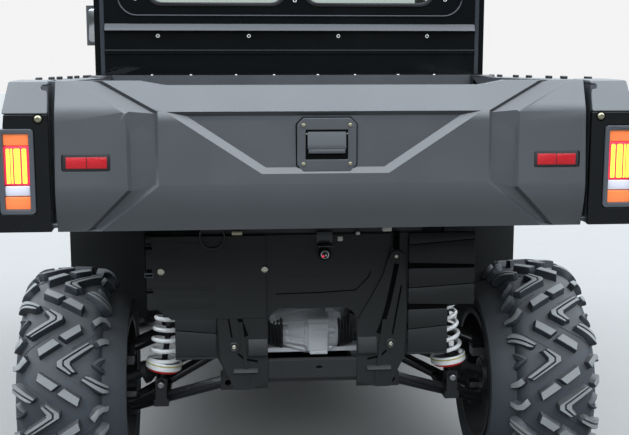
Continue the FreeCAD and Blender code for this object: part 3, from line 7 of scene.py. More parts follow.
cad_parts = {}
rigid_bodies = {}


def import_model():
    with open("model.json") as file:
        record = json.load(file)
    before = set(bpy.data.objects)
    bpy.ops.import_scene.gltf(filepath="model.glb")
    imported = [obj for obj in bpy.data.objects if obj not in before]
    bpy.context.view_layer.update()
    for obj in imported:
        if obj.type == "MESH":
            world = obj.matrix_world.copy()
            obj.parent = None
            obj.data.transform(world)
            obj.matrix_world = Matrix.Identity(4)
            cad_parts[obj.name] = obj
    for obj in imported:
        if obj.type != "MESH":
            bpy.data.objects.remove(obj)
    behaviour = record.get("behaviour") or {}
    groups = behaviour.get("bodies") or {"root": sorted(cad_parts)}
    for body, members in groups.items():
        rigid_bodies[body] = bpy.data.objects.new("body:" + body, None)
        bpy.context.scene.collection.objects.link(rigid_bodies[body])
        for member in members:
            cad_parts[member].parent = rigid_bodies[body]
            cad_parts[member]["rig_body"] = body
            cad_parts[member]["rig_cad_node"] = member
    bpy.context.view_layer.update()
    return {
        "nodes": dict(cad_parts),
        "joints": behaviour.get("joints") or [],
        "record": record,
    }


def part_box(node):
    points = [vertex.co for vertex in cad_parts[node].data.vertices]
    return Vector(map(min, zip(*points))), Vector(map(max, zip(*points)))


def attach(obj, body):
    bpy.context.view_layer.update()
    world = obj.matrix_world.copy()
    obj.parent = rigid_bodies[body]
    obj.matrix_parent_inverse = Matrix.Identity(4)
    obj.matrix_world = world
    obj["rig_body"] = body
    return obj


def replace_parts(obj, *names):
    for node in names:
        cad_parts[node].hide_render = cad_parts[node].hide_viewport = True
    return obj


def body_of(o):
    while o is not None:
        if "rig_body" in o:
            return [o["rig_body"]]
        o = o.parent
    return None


# A side by side utility vehicle seen from behind: +Z up, +Y forward, +X to its right.
# Places and sizes are in millimetres, and become metres where a mesh is made.

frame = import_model()
nodes = frame["nodes"]
slots = {row["node"]: row["material_slot"] for row in frame["record"]["subparts"]}
joint_places = {row["name"]: row.get("pos_m") for row in frame["joints"]}

mm = 0.001
backwards = (0, -1, 0)
upwards = (0, 0, 1)
sideways = (1, 0, 0)

# Points closer than this, in metres, are one: in a CAD mesh, and in a turned piece
same_cad_point = 2e-6
same_point = 1e-5

# Camera, worked out from the photo's picture of the tailgate, cab and tyres, in metres
camera_place = Vector((-0.2213, -3.7934, 1.2602))
camera_turn_right = math.radians(4.885)
camera_down = math.radians(8.925)
camera_lens = 60.0
camera_sensor = 36.0


def axle_y(axle):
    return joint_places[axle + "_right_roll"][1] / mm


front_x = joint_places["front_right_roll"][0] / mm
rear_damper_y = axle_y("rear") - 95.0
front_damper_y = axle_y("front") + 80.0

# Dampers on the right side: axle, foot and head
damper_lines = [
    ("rear", Vector((405.0, rear_damper_y, 363.0)), Vector((345.0, rear_damper_y, 745.0))),
    ("front", Vector((front_x - 258.0, front_damper_y, 372.0)), Vector((330.0, front_damper_y, 745.0))),
]


# Selecting and editing

def deselect():
    """Nothing is selected and nothing is in edit mode."""
    if bpy.context.object and bpy.context.object.mode != "OBJECT":
        bpy.ops.object.mode_set(mode="OBJECT")
    bpy.ops.object.select_all(action="DESELECT")


def pick(piece):
    """Only this piece is selected and active."""
    deselect()
    piece.select_set(True)
    bpy.context.view_layer.objects.active = piece


def select_whole():
    bpy.ops.mesh.select_all(action="SELECT")


def edit(piece, mode="FACE", whole=True):
    """Opens the piece's mesh, all of it selected unless whole is False."""
    pick(piece)
    bpy.ops.object.mode_set(mode="EDIT")
    bpy.ops.mesh.select_mode(type=mode)
    if whole:
        select_whole()


def done(outwards=False):
    """Closes the mesh, after turning its faces outwards where asked."""
    if outwards:
        select_whole()
        bpy.ops.mesh.normals_make_consistent(inside=False)
    bpy.ops.object.mode_set(mode="OBJECT")


def modifier(piece, kind, **values):
    """Adds a modifier with these values and applies it."""
    pick(piece)
    added = piece.modifiers.new(kind.lower(), kind)
    for key, value in values.items():
        setattr(added, key, value)
    bpy.ops.object.modifier_apply(modifier=added.name)


def bevel(piece, edge, segments=2, **values):
    modifier(piece, "BEVEL", width=edge, segments=segments, limit_method="ANGLE", **values)


def cut_away(piece, cutter):
    modifier(piece, "BOOLEAN", operation="DIFFERENCE", object=cutter, solver="EXACT")
    bpy.data.objects.remove(cutter)


def duplicate(piece):
    """A copy with its own mesh."""
    pick(piece)
    bpy.ops.object.duplicate(linked=False)
    return bpy.context.object


def mirrored(piece):
    """A copy on the other side of the vehicle's middle plane."""
    twin = duplicate(piece)
    twin.data.transform(Matrix.Scale(-1, 4, sideways))
    twin.data.flip_normals()
    return twin


def moved_copies(piece, moves):
    """Copies of a piece, each moved by one matrix of the list."""
    made = []
    for move in moves:
        made.append(duplicate(piece))
        made[-1].data.transform(move)
    return made


def joined(pieces, name):
    """One mesh of several pieces."""
    deselect()
    for piece in pieces:
        piece.select_set(True)
    bpy.context.view_layer.objects.active = pieces[0]
    if len(pieces) > 1:
        bpy.ops.object.join()
    pieces[0].name = name
    return pieces[0]


def both_sides(pieces, name):
    """The pieces and their mirror images, as one mesh."""
    whole = joined(pieces, name)
    return joined([whole, mirrored(whole)], name)


def dress(piece, body, finish, slot=None, smooth=35):
    """Rides the piece on its body, paints it and smooths its shading.

    The finish is a material, or the name of a slot, whose finish it then takes.
    """
    if isinstance(finish, str):
        finish, slot = finishes[finish], finish
    pick(piece)
    bpy.ops.object.shade_smooth_by_angle(angle=math.radians(smooth))
    if not piece.data.materials:
        piece.data.materials.append(finish)
    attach(piece, body)
    return piece


# Plain forms

def outlined(name, points):
    """A flat face with these corners, in metres: a filled circle whose points are set on the outline."""
    deselect()
    bpy.ops.mesh.primitive_circle_add(vertices=len(points), fill_type="NGON")
    piece = bpy.context.object
    piece.name = name
    for vertex, place in zip(piece.data.vertices, points):
        vertex.co = place
    return piece


def plate(name, points, depth, edge=0.0, segments=2):
    """A plate of that outline, extruded by the depth vector, with rounded edges."""
    piece = outlined(name, points)
    edit(piece)
    bpy.ops.mesh.extrude_region_move(TRANSFORM_OT_translate={"value": depth})
    done(outwards=True)
    if edge:
        bevel(piece, edge, segments)
    return piece


def turned(name, profile, place, axis, steps):
    """A closed (along, radius) profile spun round an axis through place."""
    along = Vector(axis).normalized()
    out = along.orthogonal().normalized()
    centre = Vector(place) * mm
    piece = outlined(name, [centre + along * (a * mm) + out * (r * mm) for a, r in profile])
    edit(piece, "VERT")
    bpy.ops.mesh.delete(type="ONLY_FACE")
    select_whole()
    bpy.ops.mesh.spin(steps=steps, angle=math.tau, center=centre, axis=along)
    select_whole()
    bpy.ops.mesh.remove_doubles(threshold=same_point)
    done(outwards=True)
    return piece


def rounded_corners(x, z, radius, steps=4):
    """The corners of a rounded rectangle between two x and two z, as (x, z)."""
    points = []
    for turn, (cx, cz) in enumerate(((x[1], z[1]), (x[0], z[1]), (x[0], z[0]), (x[1], z[0]))):
        cx += radius if cx == min(x) else -radius
        cz += radius if cz == min(z) else -radius
        for step in range(steps + 1):
            angle = math.pi / 2 * (turn + step / steps)
            points.append((cx + radius * math.cos(angle), cz + radius * math.sin(angle)))
    return points


def upright(name, outline, y, edge=0.0, segments=2):
    """A plate standing across the vehicle: its (x, z) outline, and its rear and front y."""
    points = [Vector((x, y[0], z)) * mm for x, z in outline]
    return plate(name, points, Vector((0, y[1] - y[0], 0)) * mm, edge * mm, segments)


def lengthways(name, outline, x, edge=0.0, segments=2):
    """A bar along the x axis: its (y, z) outline and its two ends."""
    points = [Vector((x[0], y, z)) * mm for y, z in outline]
    return plate(name, points, Vector((x[1] - x[0], 0, 0)) * mm, edge * mm, segments)


def slab(name, x, y, z, edge=0.0, segments=2):
    """A box between two x, two y and two z."""
    return upright(name, [(x[0], z[0]), (x[1], z[0]), (x[1], z[1]), (x[0], z[1])], y, edge, segments)


def hoop(name, x, z, width, radii, steps, y, edge, segments):
    """A flat band of that width inside a rounded rectangle: radii are its outer and inner corners'."""
    piece = upright(name, rounded_corners(x, z, radii[0], steps), y)
    hole_x, hole_z = ((low + width, high - width) for low, high in (x, z))
    hole = rounded_corners(hole_x, hole_z, radii[1], steps)
    cut_away(piece, upright("cutter", hole, (y[0] - 3.5, y[0] + 16.5)))
    bevel(piece, edge * mm, segments)
    return piece


def strip(name, points, width, y):
    """A thin flat strip of that width along (x, z) points."""
    line = [Vector(point) for point in points]
    left, right = [], []
    for number, point in enumerate(line):
        before = line[max(number - 1, 0)]
        after = line[min(number + 1, len(line) - 1)]
        way = (after - before).normalized()
        side = Vector((-way.y, way.x)) * width / 2
        left.append(point + side)
        right.append(point - side)
    return upright(name, [tuple(point) for point in left + right[::-1]], y)


def ring(name, place, radius, thick):
    """A ring of round section that faces backwards."""
    angles = [math.tau * n / 8 for n in range(8)]
    profile = [(thick * math.cos(angle), radius + thick * math.sin(angle)) for angle in angles]
    return turned(name, profile, place, backwards, 24)


def heads(name, body, finish, rows, way=backwards):
    """Round screw heads with a socket, all facing one way: rows of place, radius and height."""
    made = []
    for place, radius, height in rows:
        profile = [(-0.6, 0.0), (-0.6, radius), (0.35 * height, radius), (0.85 * height, 0.78 * radius),
                   (height, 0.5 * radius), (height, 0.36 * radius), (0.25 * height, 0.3 * radius),
                   (0.25 * height, 0.0)]
        made.append(turned(name, profile, place, way, 16))
    return dress(joined(made, name), body, finish)


# Shader node group and materials

def nodes_of(tree):
    """A function that adds a node with settings, and links or sets its sockets by name or number."""

    def add(kind, inputs=None, **values):
        node = tree.nodes.new("ShaderNode" + kind)
        for key, value in values.items():
            setattr(node, key, value)
        for key, value in (inputs or {}).items():
            if isinstance(value, bpy.types.NodeSocket):
                tree.links.new(value, node.inputs[key])
            else:
                node.inputs[key].default_value = value
        return node

    return add


def make_grain_group():
    """Moulded or cast surface: fine grain, broad shading of the colour, and dust on what faces up."""
    tree = bpy.data.node_groups.new("moulded_grain", "ShaderNodeTree")
    kinds = {"Colour": "NodeSocketColor"}
    taken = {"Colour": (0.1, 0.1, 0.1, 1), "Scale": 600.0, "Variation": 0.1, "Dust": 0.0, "Roughness": 0.5}
    for label, value in taken.items():
        kind = kinds.get(label, "NodeSocketFloat")
        tree.interface.new_socket(label, in_out="INPUT", socket_type=kind).default_value = value
    for label in ("Colour", "Roughness", "Height"):
        tree.interface.new_socket(label, in_out="OUTPUT", socket_type=kinds.get(label, "NodeSocketFloat"))
    add = nodes_of(tree)
    given, out = tree.nodes.new("NodeGroupInput"), tree.nodes.new("NodeGroupOutput")
    place = add("TexCoord").outputs["Object"]
    fine = add("TexNoise", {"Vector": place, "Scale": given.outputs["Scale"], "Detail": 2.0})
    broad = add("TexNoise", {"Vector": place, "Scale": 4.0, "Detail": 4.0, "Roughness": 0.6})
    shade = add("MapRange", {"Value": broad.outputs["Fac"], "From Min": 0.3, "From Max": 0.7,
                             "To Min": -0.5, "To Max": 0.5})
    swing = add("Math", {0: shade.outputs[0], 1: given.outputs["Variation"]}, operation="MULTIPLY")
    gain = add("Math", {0: swing.outputs[0], 1: 1.0}, operation="ADD")
    tinted = add("VectorMath", {0: given.outputs["Colour"], "Scale": gain.outputs[0]}, operation="SCALE")
    facing = add("SeparateXYZ", {"Vector": add("NewGeometry").outputs["Normal"]})
    upward = add("MapRange", {"Value": facing.outputs["Z"], "From Min": 0.2, "From Max": 1.0})
    patchy = add("Math", {0: upward.outputs[0], 1: broad.outputs["Fac"]}, operation="MULTIPLY")
    mask = add("Math", {0: patchy.outputs[0], 1: given.outputs["Dust"]}, operation="MULTIPLY", use_clamp=True)
    dusty = add("Mix", {0: mask.outputs[0], 6: tinted.outputs[0], 7: (0.36, 0.34, 0.31, 1)}, data_type="RGBA")
    rough = add("Math", {0: swing.outputs[0], 1: given.outputs["Roughness"]}, operation="ADD")
    dull = add("Math", {0: mask.outputs[0], 1: 0.35, 2: rough.outputs[0]}, operation="MULTIPLY_ADD",
               use_clamp=True)
    tree.links.new(dusty.outputs[2], out.inputs["Colour"])
    tree.links.new(dull.outputs[0], out.inputs["Roughness"])
    tree.links.new(fine.outputs["Fac"], out.inputs["Height"])
    return tree


grain_group = make_grain_group()


def surface(name, colour, roughness, scale=600.0, variation=0.1, dust=0.0, bump=0.25, depth=0.0004,
            **sockets):
    """A material on the grain group: its colour, roughness and grain, and plain values for other sockets."""
    material = bpy.data.materials.new(name)
    material.use_nodes = True
    tree = material.node_tree
    shader = tree.nodes["Principled BSDF"]
    grain = tree.nodes.new("ShaderNodeGroup")
    grain.node_tree = grain_group
    given = {"Colour": (*colour, 1), "Scale": scale, "Variation": variation, "Dust": dust,
             "Roughness": roughness}
    for key, value in given.items():
        grain.inputs[key].default_value = value
    relief = nodes_of(tree)("Bump", {"Height": grain.outputs["Height"], "Strength": bump, "Distance": depth})
    tree.links.new(grain.outputs["Colour"], shader.inputs["Base Color"])
    tree.links.new(grain.outputs["Roughness"], shader.inputs["Roughness"])
    tree.links.new(relief.outputs["Normal"], shader.inputs["Normal"])
    for key, value in sockets.items():
        shader.inputs[key.replace("_", " ")].default_value = value
    return material


# Finish of each slot: name, colour, roughness, then the grain's scale, variation, dust, bump and depth
finishes = {
    "body_plastic": surface("grained_grey_plastic", (0.046, 0.050, 0.0550), 0.36, 900, 0.1, 0.03,
                            Specular_IOR_Level=0.95),
    "guard_plastic": surface("matt_black_plastic", (0.0105, 0.0115, 0.0115), 0.48, 700, 0.25, 0.04,
                             Specular_IOR_Level=0.35),
    "gloss_black": surface("gloss_black_panel", (0.004, 0.0045, 0.005), 0.1, 60, 0.15, 0.02, 0.03,
                           Specular_IOR_Level=0.3),
    "frame_paint": surface("black_powder_coat", (0.012, 0.0125, 0.014), 0.4, 1200, 0.2, 0.12, 0.3),
    "black_steel": surface("satin_black_steel", (0.009, 0.0095, 0.011), 0.22, 1400, 0.2, 0.12, 0.2),
    "rubber_tyre": surface("tyre_rubber", (0.026, 0.031, 0.037), 0.62, 500, 0.25, 0.25, 0.35),
    "boot_rubber": surface("black_rubber", (0.014, 0.014, 0.015), 0.55, 800, 0.2, 0.2, 0.3),
    "wheel_paint": surface("black_wheel_paint", (0.012, 0.012, 0.013), 0.35, 1000, 0.2, 0.15, 0.2),
    "cast_alloy": surface("cast_aluminium", (0.70, 0.71, 0.72), 0.4, 450, 0.25, 0.02, 0.4, Metallic=0.1),
    "steel": surface("machined_steel", (0.36, 0.36, 0.37), 0.35, 900, 0.25, 0.1, 0.2, Metallic=1.0),
    "spring_paint": surface("white_spring_paint", (0.80, 0.80, 0.78), 0.28, 800, 0.06, 0.05, 0.1,
                            Coat_Weight=0.5),
    "bezel_grey": surface("satin_grey_bezel", (0.065, 0.069, 0.078), 0.25, 900, 0.1, 0.05, 0.1),
    "seat_vinyl": surface("black_seat_vinyl", (0.020, 0.020, 0.022), 0.5, 420, 0.15, 0.05, 0.5),
    "red_reflector": surface("red_reflector", (0.42, 0.008, 0.014), 0.3, 180, 0.5, 0.0, 0.8, 0.001),
    "lens": surface("amber_lens", (0.80, 0.17, 0.05), 0.18, 200, 0.15, 0.0, 0.4, 0.001,
                    Emission_Color=(1.0, 0.30, 0.10, 1), Emission_Strength=0.25),
    "lamp_glass": surface("headlamp_lens", (0.62, 0.64, 0.66), 0.08, 200, 0.1, 0.0, 0.1, Coat_Weight=1.0),
    "window_glass": surface("cab_glass", (0.72, 0.78, 0.76), 0.02, variation=0.02, bump=0.02,
                            Transmission_Weight=1.0, IOR=1.45),
}
lug_face = surface("worn_lug_face", (0.19, 0.197, 0.195), 0.75, 500, 0.2, 0.1, 0.3)
# Near black for gaps, grooves, slots and recesses: painted shade
painted_gap_shade = surface("painted_gap_shade", (0.0025, 0.0026, 0.0026), 0.9, 800, 0.1, 0.0, 0.1, Specular_IOR_Level=0.05)
brass = surface("yellow_zinc_screw", (0.40, 0.37, 0.26), 0.35, 900, 0.2, 0.1, 0.2, Metallic=0.9)
chrome = surface("chromed_ring", (0.75, 0.76, 0.78), 0.12, 900, 0.05, 0.0, 0.05, Metallic=1.0)
white_stud = surface("pale_stud", (0.62, 0.61, 0.56), 0.45, 900, 0.1, 0.1, 0.1)
# Grey lighter than the gloss black panel, for its edges, posts and ledge: painted sheen
painted_sheen_edge = surface("black_edge_painted_sheen", (0.030, 0.034, 0.040), 0.22, 200, 0.1, 0.0, 0.05)
# Grey for a black bracket: painted highlight along its edge
painted_highlight_bracket = surface("bracket_grey_painted_highlight", (0.05, 0.055, 0.06), 0.25, 900, 0.1, 0.1, 0.1)
yellow_line = surface("yellow_paint_line", (0.45, 0.40, 0.05), 0.4, 900, 0.1, 0.1, 0.1)
bright_zinc = surface("zinc_bolt", (0.62, 0.60, 0.50), 0.3, 900, 0.2, 0.1, 0.2, Metallic=1.0)
rubber_trim = surface("rubber_trim", (0.008, 0.008, 0.009), 0.5, 800, 0.2, 0.1, 0.2)
red_ring = surface("red_spring_seat", (0.60, 0.015, 0.012), 0.35, 800, 0.1, 0.05, 0.1)
lit_red = surface("lit_red_lens", (0.85, 0.02, 0.06), 0.2, 200, 0.2, 0.0, 0.3, 0.001,
                  Emission_Color=(1.0, 0.03, 0.09, 1), Emission_Strength=0.7)
lit_orange = surface("lit_cell_back", (1.0, 0.35, 0.05), 0.3, 300, 0.1, 0.0, 0.3, 0.001,
                     Emission_Color=(1.0, 0.32, 0.02, 1), Emission_Strength=0.8)
lit_yellow = surface("lit_lamp_cells", (1.0, 0.85, 0.1), 0.3, 300, 0.1, 0.0, 0.3, 0.001,
                     Emission_Color=(1.0, 0.80, 0.06, 1), Emission_Strength=1.0)
clear_lens = surface("clear_lens", (0.66, 0.64, 0.70), 0.15, 200, 0.1, 0.0, 0.3, 0.001, Coat_Weight=1.0)


def paint_carried_nodes():
    """Every CAD node that stays gets its procedural material."""
    for name, piece in nodes.items():
        piece.data.materials.clear()
        piece.data.materials.append(finishes[slots[name]])


# Tyres. Places on the tread are (across, along), along one pitch of the pattern.

tread_pitches = 8
wide_tyre = 254.0
lug_height = 21.0
lug_root = 3.0
rim_radius = 182.3
tyre_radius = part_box("tyre_rear_left")[1].z / mm - joint_places["rear_left_roll"][2] / mm
pitch = math.tau * tyre_radius / tread_pitches
half_pitch = pitch / 2

# Section of the tread: half its flat middle, and the radii of its crown and shoulder
flat, crown_radius, shoulder_radius = 72.0, 600.0, 36.0


def tread_section(across, height, scale):
    """Where a lug point lies, as (x, radius): across is where its full height top would be."""
    side = math.copysign(1, across)
    run = abs(across)
    start = flat / crown_radius
    top = (crown_radius + lug_height) * math.sin(start)
    if run <= top:
        lean = math.asin(run / (crown_radius + lug_height))
        x, radius = crown_radius * math.sin(lean), -crown_radius * (1 - math.cos(lean))
    else:
        reach = (run - top) / (shoulder_radius + lug_height) + math.sin(start)
        lean = math.asin(min(reach, 0.998))
        x = crown_radius * math.sin(start) + shoulder_radius * (math.sin(lean) - math.sin(start))
        radius = -crown_radius * (1 - math.cos(start)) - shoulder_radius * (math.cos(start) - math.cos(lean))
    x += math.sin(lean) * height
    radius += tyre_radius - lug_height + math.cos(lean) * height
    return side * x * scale, radius


def around(across, along, height, scale):
    """A tread place in the tyre's own frame: along runs down its rear side, at the tips' radius."""
    x, radius = tread_section(across, height, scale)
    angle = along / tyre_radius
    return Vector((x, -radius * math.cos(angle), -radius * math.sin(angle))) * mm


# Lugs of one pitch, seen from behind: name, places across and down, and height.
# Each is repeated by a half turn about the middle of the first pair of blocks.
block_corners = [(16, -3), (55, 24), (49, 45), (-2, 11)]
lug_table = [
    ("block_down", block_corners, 21.0),
    ("block_up", [(x, half_pitch - y) for x, y in reversed(block_corners)], 21.0),
    ("hook_low", [(-4, -72), (72, -121), (77, -119), (11, -74), (11, -60), (34, -40), (29, -37), (-4, -59)],
     21.0),
    ("hook_high", [(80, -117), (89, -113), (30, -71), (30, -62), (44, -44), (37, -42), (14, -62), (14, -72)],
     21.0),
    ("hook_foot", [(2, -72), (84, -114), (22, -72), (22, -60), (36, -44), (2, -60)], 14.0),
    ("bar_low", [(58, -22), (62, -28), (124, 8), (124, 17), (110, 15)], 20.0),
    ("bar_high", [(65, -30), (70, -33), (82, -30), (124, -6), (124, 4)], 20.0),
    ("bar_foot", [(64, -24), (74, -28), (122, -2), (122, 10)], 13.0),
    ("side_hook_low", [(122, -42), (122, -48), (98, -63), (122, -82), (122, -88), (91, -66), (91, -60)],
     12.0),
    ("side_hook_high", [(122, -52), (122, -57), (107, -64), (122, -74), (122, -79), (101, -64)], 9.0),
    ("bent_bar", [(80, 76), (98, 57), (113, 52), (124, 56), (124, 70), (112, 67), (103, 72), (90, 90)], 19.0),
    ("knob", [(95, 133), (104, 123), (124, 113), (124, 127), (103, 145)], 18.0),
    ("long_rib", [(20, -33), (100, 19), (99, 21), (19, -31)], 2.0),
    ("cross_rib", [(-30, 112), (-104, 162), (-105, 160), (-31, 110)], 2.0),
]
# Lugs are cut at these places across, so that they bend over the crown
lug_cuts = (-122, -117, -110, -100, -90, -78, -60, -30, 0, 30, 60, 78, 90, 100, 110, 117, 122)
crown_places = (-124, -118, -108, -96, -84, -72, -48, -24, 0, 24, 48, 72, 84, 96, 108, 118, 124)


def grown(outline, distance):
    """The outline moved outwards by a distance, for the wider foot of a lug."""
    points = [Vector(point) for point in outline]
    turn = sum(a.cross(b) for a, b in zip(points, points[1:] + points[:1]))
    sign = 1 if turn > 0 else -1
    out = []
    for before, point, after in zip(points[-1:] + points[:-1], points, points[1:] + points[:1]):
        first = (point - before).normalized()
        second = (after - point).normalized()
        normal_a, normal_b = Vector((first.y, -first.x)), Vector((second.y, -second.x))
        middle = (normal_a + normal_b).normalized()
        out.append(point + middle * sign * distance / max(middle.dot(normal_a), 0.5))
    return out


def make_lug(name, outline, height, scale):
    """One lug on the tyre: its outline is raised, cut into short runs and laid round the tread."""
    is_rib, is_foot = name.endswith("rib"), name.endswith("foot")
    draft = 0.5 if is_rib else (1.2 if is_foot else 4.0)
    flat_top = [Vector((across, -along, 0.0)) for across, along in outline]
    foot = [Vector((across, -along, 0.0)) for across, along in grown(outline, draft)]
    piece = plate(name, flat_top, (0, 0, height + lug_root))
    for vertex in piece.data.vertices:
        if vertex.co.z < 0.1:
            nearest = min(range(len(flat_top)), key=lambda number: (flat_top[number] - vertex.co).length)
            vertex.co = foot[nearest]
    edit(piece)
    for cut in lug_cuts:
        select_whole()
        bpy.ops.mesh.bisect(plane_co=(cut, 0, 0), plane_no=sideways)
    done()
    if not is_rib:
        bevel(piece, 1.0, 1, angle_limit=math.radians(40))
    worn = not is_rib and not is_foot and height > 15
    for face in piece.data.polygons:
        face.material_index = 1 if worn and face.normal.z > 0.9 and face.center.z > height else 0
    for vertex in piece.data.vertices:
        across, along, high = vertex.co
        vertex.co = around(across, -along, high - lug_root, scale)
    piece.data.materials.append(finishes["rubber_tyre"])
    piece.data.materials.append(lug_face)
    return piece


def make_tyre(node, full, width, shift, middle, turn, body):
    """A lug tyre about the X axis through middle: full is its width over the sidewalls.

    The tread is width wide and lies shift out from the wheel's middle; turn sets where its pattern starts.
    """
    scale = width / wide_tyre
    bead = 0.42 * full
    side = full / 2 - 0.5
    shoulder = shift - width / 2 + lug_height
    outer = [(bead, rim_radius), (bead, rim_radius + 10), (min(side, bead + 10), 214), (side - 6, 240),
             (side - 9, 258)]
    inner = [(-x, radius) for x, radius in outer[:3]] + [(12 - side, 240), ((shoulder - side + 6) / 2, 262)]
    crown = [tread_section(across, 0.0, scale) for across in crown_places]
    profile = inner + [(x + shift, radius) for x, radius in crown] + outer[::-1]
    sign = -1 if middle.x < 0 else 1
    profile = [(sign * x, radius) for x, radius in profile]
    carcass = turned(node + "_carcass", profile, (0, 0, 0), sideways, 128)
    carcass.data.materials.append(finishes["rubber_tyre"])
    carcass.data.materials.append(lug_face)
    lugs = [make_lug("lug_" + name, outline, height, scale) for name, outline, height in lug_table]
    half_turn = Matrix.Rotation(math.pi, 4, "Y")
    lugs += [moved_copies(lug, [half_turn])[0] for lug in lugs]
    one_pitch = joined(lugs, "one_pitch")
    turns = [Matrix.Rotation(math.tau * number / tread_pitches, 4, "X") for number in range(1, tread_pitches)]
    pattern = joined([one_pitch] + moved_copies(one_pitch, turns), node + "_pattern")
    pattern.data.transform(Matrix.Rotation(turn, 4, "X"))
    pattern.data.transform(Matrix.Translation((sign * shift * mm, 0, 0)))
    whole = joined([carcass, pattern], node + "_lugged")
    whole.data.transform(Matrix.Translation(middle))
    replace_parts(dress(whole, body, "rubber_tyre", smooth=40), node)


def build_tyres():
    """The four tyres, all with the same hand of tread, turned as in the photo at the rear."""
    # Axle: full width, tread width, how far the tread lies out from the wheel's middle, left and right turn
    sizes = {"rear": (302.0, 254.0, 24.0, 15.1, -10.5), "front": (244.0, 226.0, 8.0, 4.0, 31.0)}
    for axle, (full, width, shift, *turns) in sizes.items():
        for side, turn in zip(("left", "right"), turns):
            wheel = "%s_%s" % (axle, side)
            place = Vector(joint_places[wheel + "_roll"])
            make_tyre("tyre_" + wheel, full, width, shift, place, -math.radians(turn), wheel + "_wheel")


# CAD panels with small shifts against the photo, cut bands and rounded edges

def rail_falls(place):
    """The side rails of the bed fall a little towards the cab."""
    if place.z > 1195 and place.y > -1400:
        place.z -= 0.0145 * (place.y + 1400)
    return place


def spreads(limit, reach):
    """What lies further out than the limit moves outwards, by a reach that depends on the height."""

    def spread(place):
        if abs(place.x) > limit:
            place.x += math.copysign(reach(place.z), place.x)
        return place

    return spread


def ledge_slopes(place):
    """The ledge's face runs straight from its foot to its head."""
    if place.y < -366 and 1340 < place.z < 1346:
        place.y = -361.1
    return place


def bar_shrinks(place):
    """The hitch bar is lower, and its hole lies a little to the right."""
    place.z = 418 + (place.z - 400) * 0.69
    if abs(place.x) < 14:
        place.x += 17
    return place


def tube_lifts(place):
    """The frame's rearmost cross tube lies higher, out of sight behind the hitch bar."""
    if place.y < -1060 and place.z < 419:
        place.z += 34
    return place


def tail_tucks(place):
    """The skid plate ends further forward than the guard, out of sight behind the hitch bar."""
    if place.y < -1050:
        place.y += 170
    return place


# Skin of the tailgate: height, and how far forward of its rearmost place it lies
gate_rear = -1500.0
gate_skin = [(830, 44.0), (874, 28.0), (900, 16.3), (925, 7.9), (950, 2.3), (975, 0.0), (1133, 6.0),
             (1300, 65.9)]
# Below its crease the CAD skin is straight; it becomes a curve that ends further in and a little lower
gate_crease, gate_foot = 975.0, 874.0
straight_foot, curved_foot, foot_drop = 22.0, 28.0, 4.5
gate_cuts = (890, 906, 922, 938, 952, 964, 1110, 1133, 1150)
# Side bands: (x, z) on the inner and on the outer edge, and the depth beside the outer edge
band_rows = [
    ((492, 1204), (566, 1204), 0.0),
    ((366, 1134), (436, 1130), 3.0),
    ((366, 1085), (435, 1085), 8.0),
    ((366, 973), (434, 964), 8.0),
    ((497, 870), (527, 870), 8.0),
]
band_wall, band_depth = 7.5, 8.0


def skin_y(z):
    """The y of the tailgate's skin at a height."""
    for (low, low_depth), (high, high_depth) in zip(gate_skin, gate_skin[1:]):
        if z <= high:
            return gate_rear + low_depth + (z - low) * (high_depth - low_depth) / (high - low)


def beside(line, distance):
    """The line's (x, z) points moved sideways, to the left of its run for a distance over zero."""
    points = [Vector(point) for point in line]
    ways = [(b - a).normalized() for a, b in zip(points, points[1:])]
    moved = []
    for point, before, after in zip(points, ways[:1] + ways, ways + ways[-1:]):
        middle = (before + after).normalized()
        moved.append(point + Vector((-middle.y, middle.x)) * distance / middle.dot(before))
    return moved


def band_cutter():
    """What is cut for one side's sunk band: six-cornered sections along its kinked edges."""
    inner_line, outer_line, depths = zip(*band_rows)
    rings = []
    rows = zip(inner_line, beside(inner_line, band_wall), beside(outer_line, -band_wall), outer_line, depths)
    for inner, low, far, outer, depth in rows:
        corners = [(inner, None), (inner, -0.05), (low, band_depth), (far, depth), (outer, -0.05),
                   (outer, None)]
        rings.append([Vector((x, gate_rear - 10 if deep is None else skin_y(z) + deep, z)) * mm
                      for (x, z), deep in corners])
    circle = [Vector((math.cos(math.tau * n / 6), math.sin(math.tau * n / 6), 0)) for n in range(6)]
    piece = outlined("band_cutter", circle)
    for number in range(len(rings) - 1):
        edit(piece, whole=number == 0)
        bpy.ops.mesh.extrude_region_move(TRANSFORM_OT_translate={"value": upwards})
        done()
    for vertex in piece.data.vertices:
        level = round(vertex.co.z)
        below = Vector((vertex.co.x, vertex.co.y, 0))
        corner = min(range(6), key=lambda n: (circle[n] - below).length)
        vertex.co = rings[level][corner]
    edit(piece)
    bpy.ops.mesh.quads_convert_to_tris()
    done(outwards=True)
    return piece


def carve_gate(piece):
    """The tailgate's skin below the crease curves in towards its foot, and its side bands are cut."""
    edit(piece)
    for height in gate_cuts:
        select_whole()
        bpy.ops.mesh.bisect(plane_co=(0, 0, height * mm), plane_no=upwards)
    done()
    for vertex in piece.data.vertices:
        place = vertex.co / mm
        share = (gate_crease - place.z) / (gate_crease - gate_foot)
        if share > 0 and abs(place.y - gate_rear - straight_foot * share) < 0.4:
            vertex.co.y = (gate_rear + curved_foot * share ** 1.8) * mm
        if place.z < gate_foot + 2:
            vertex.co.z -= foot_drop * mm
    cutter = band_cutter()
    for side in (cutter, mirrored(cutter)):
        cut_away(piece, side)


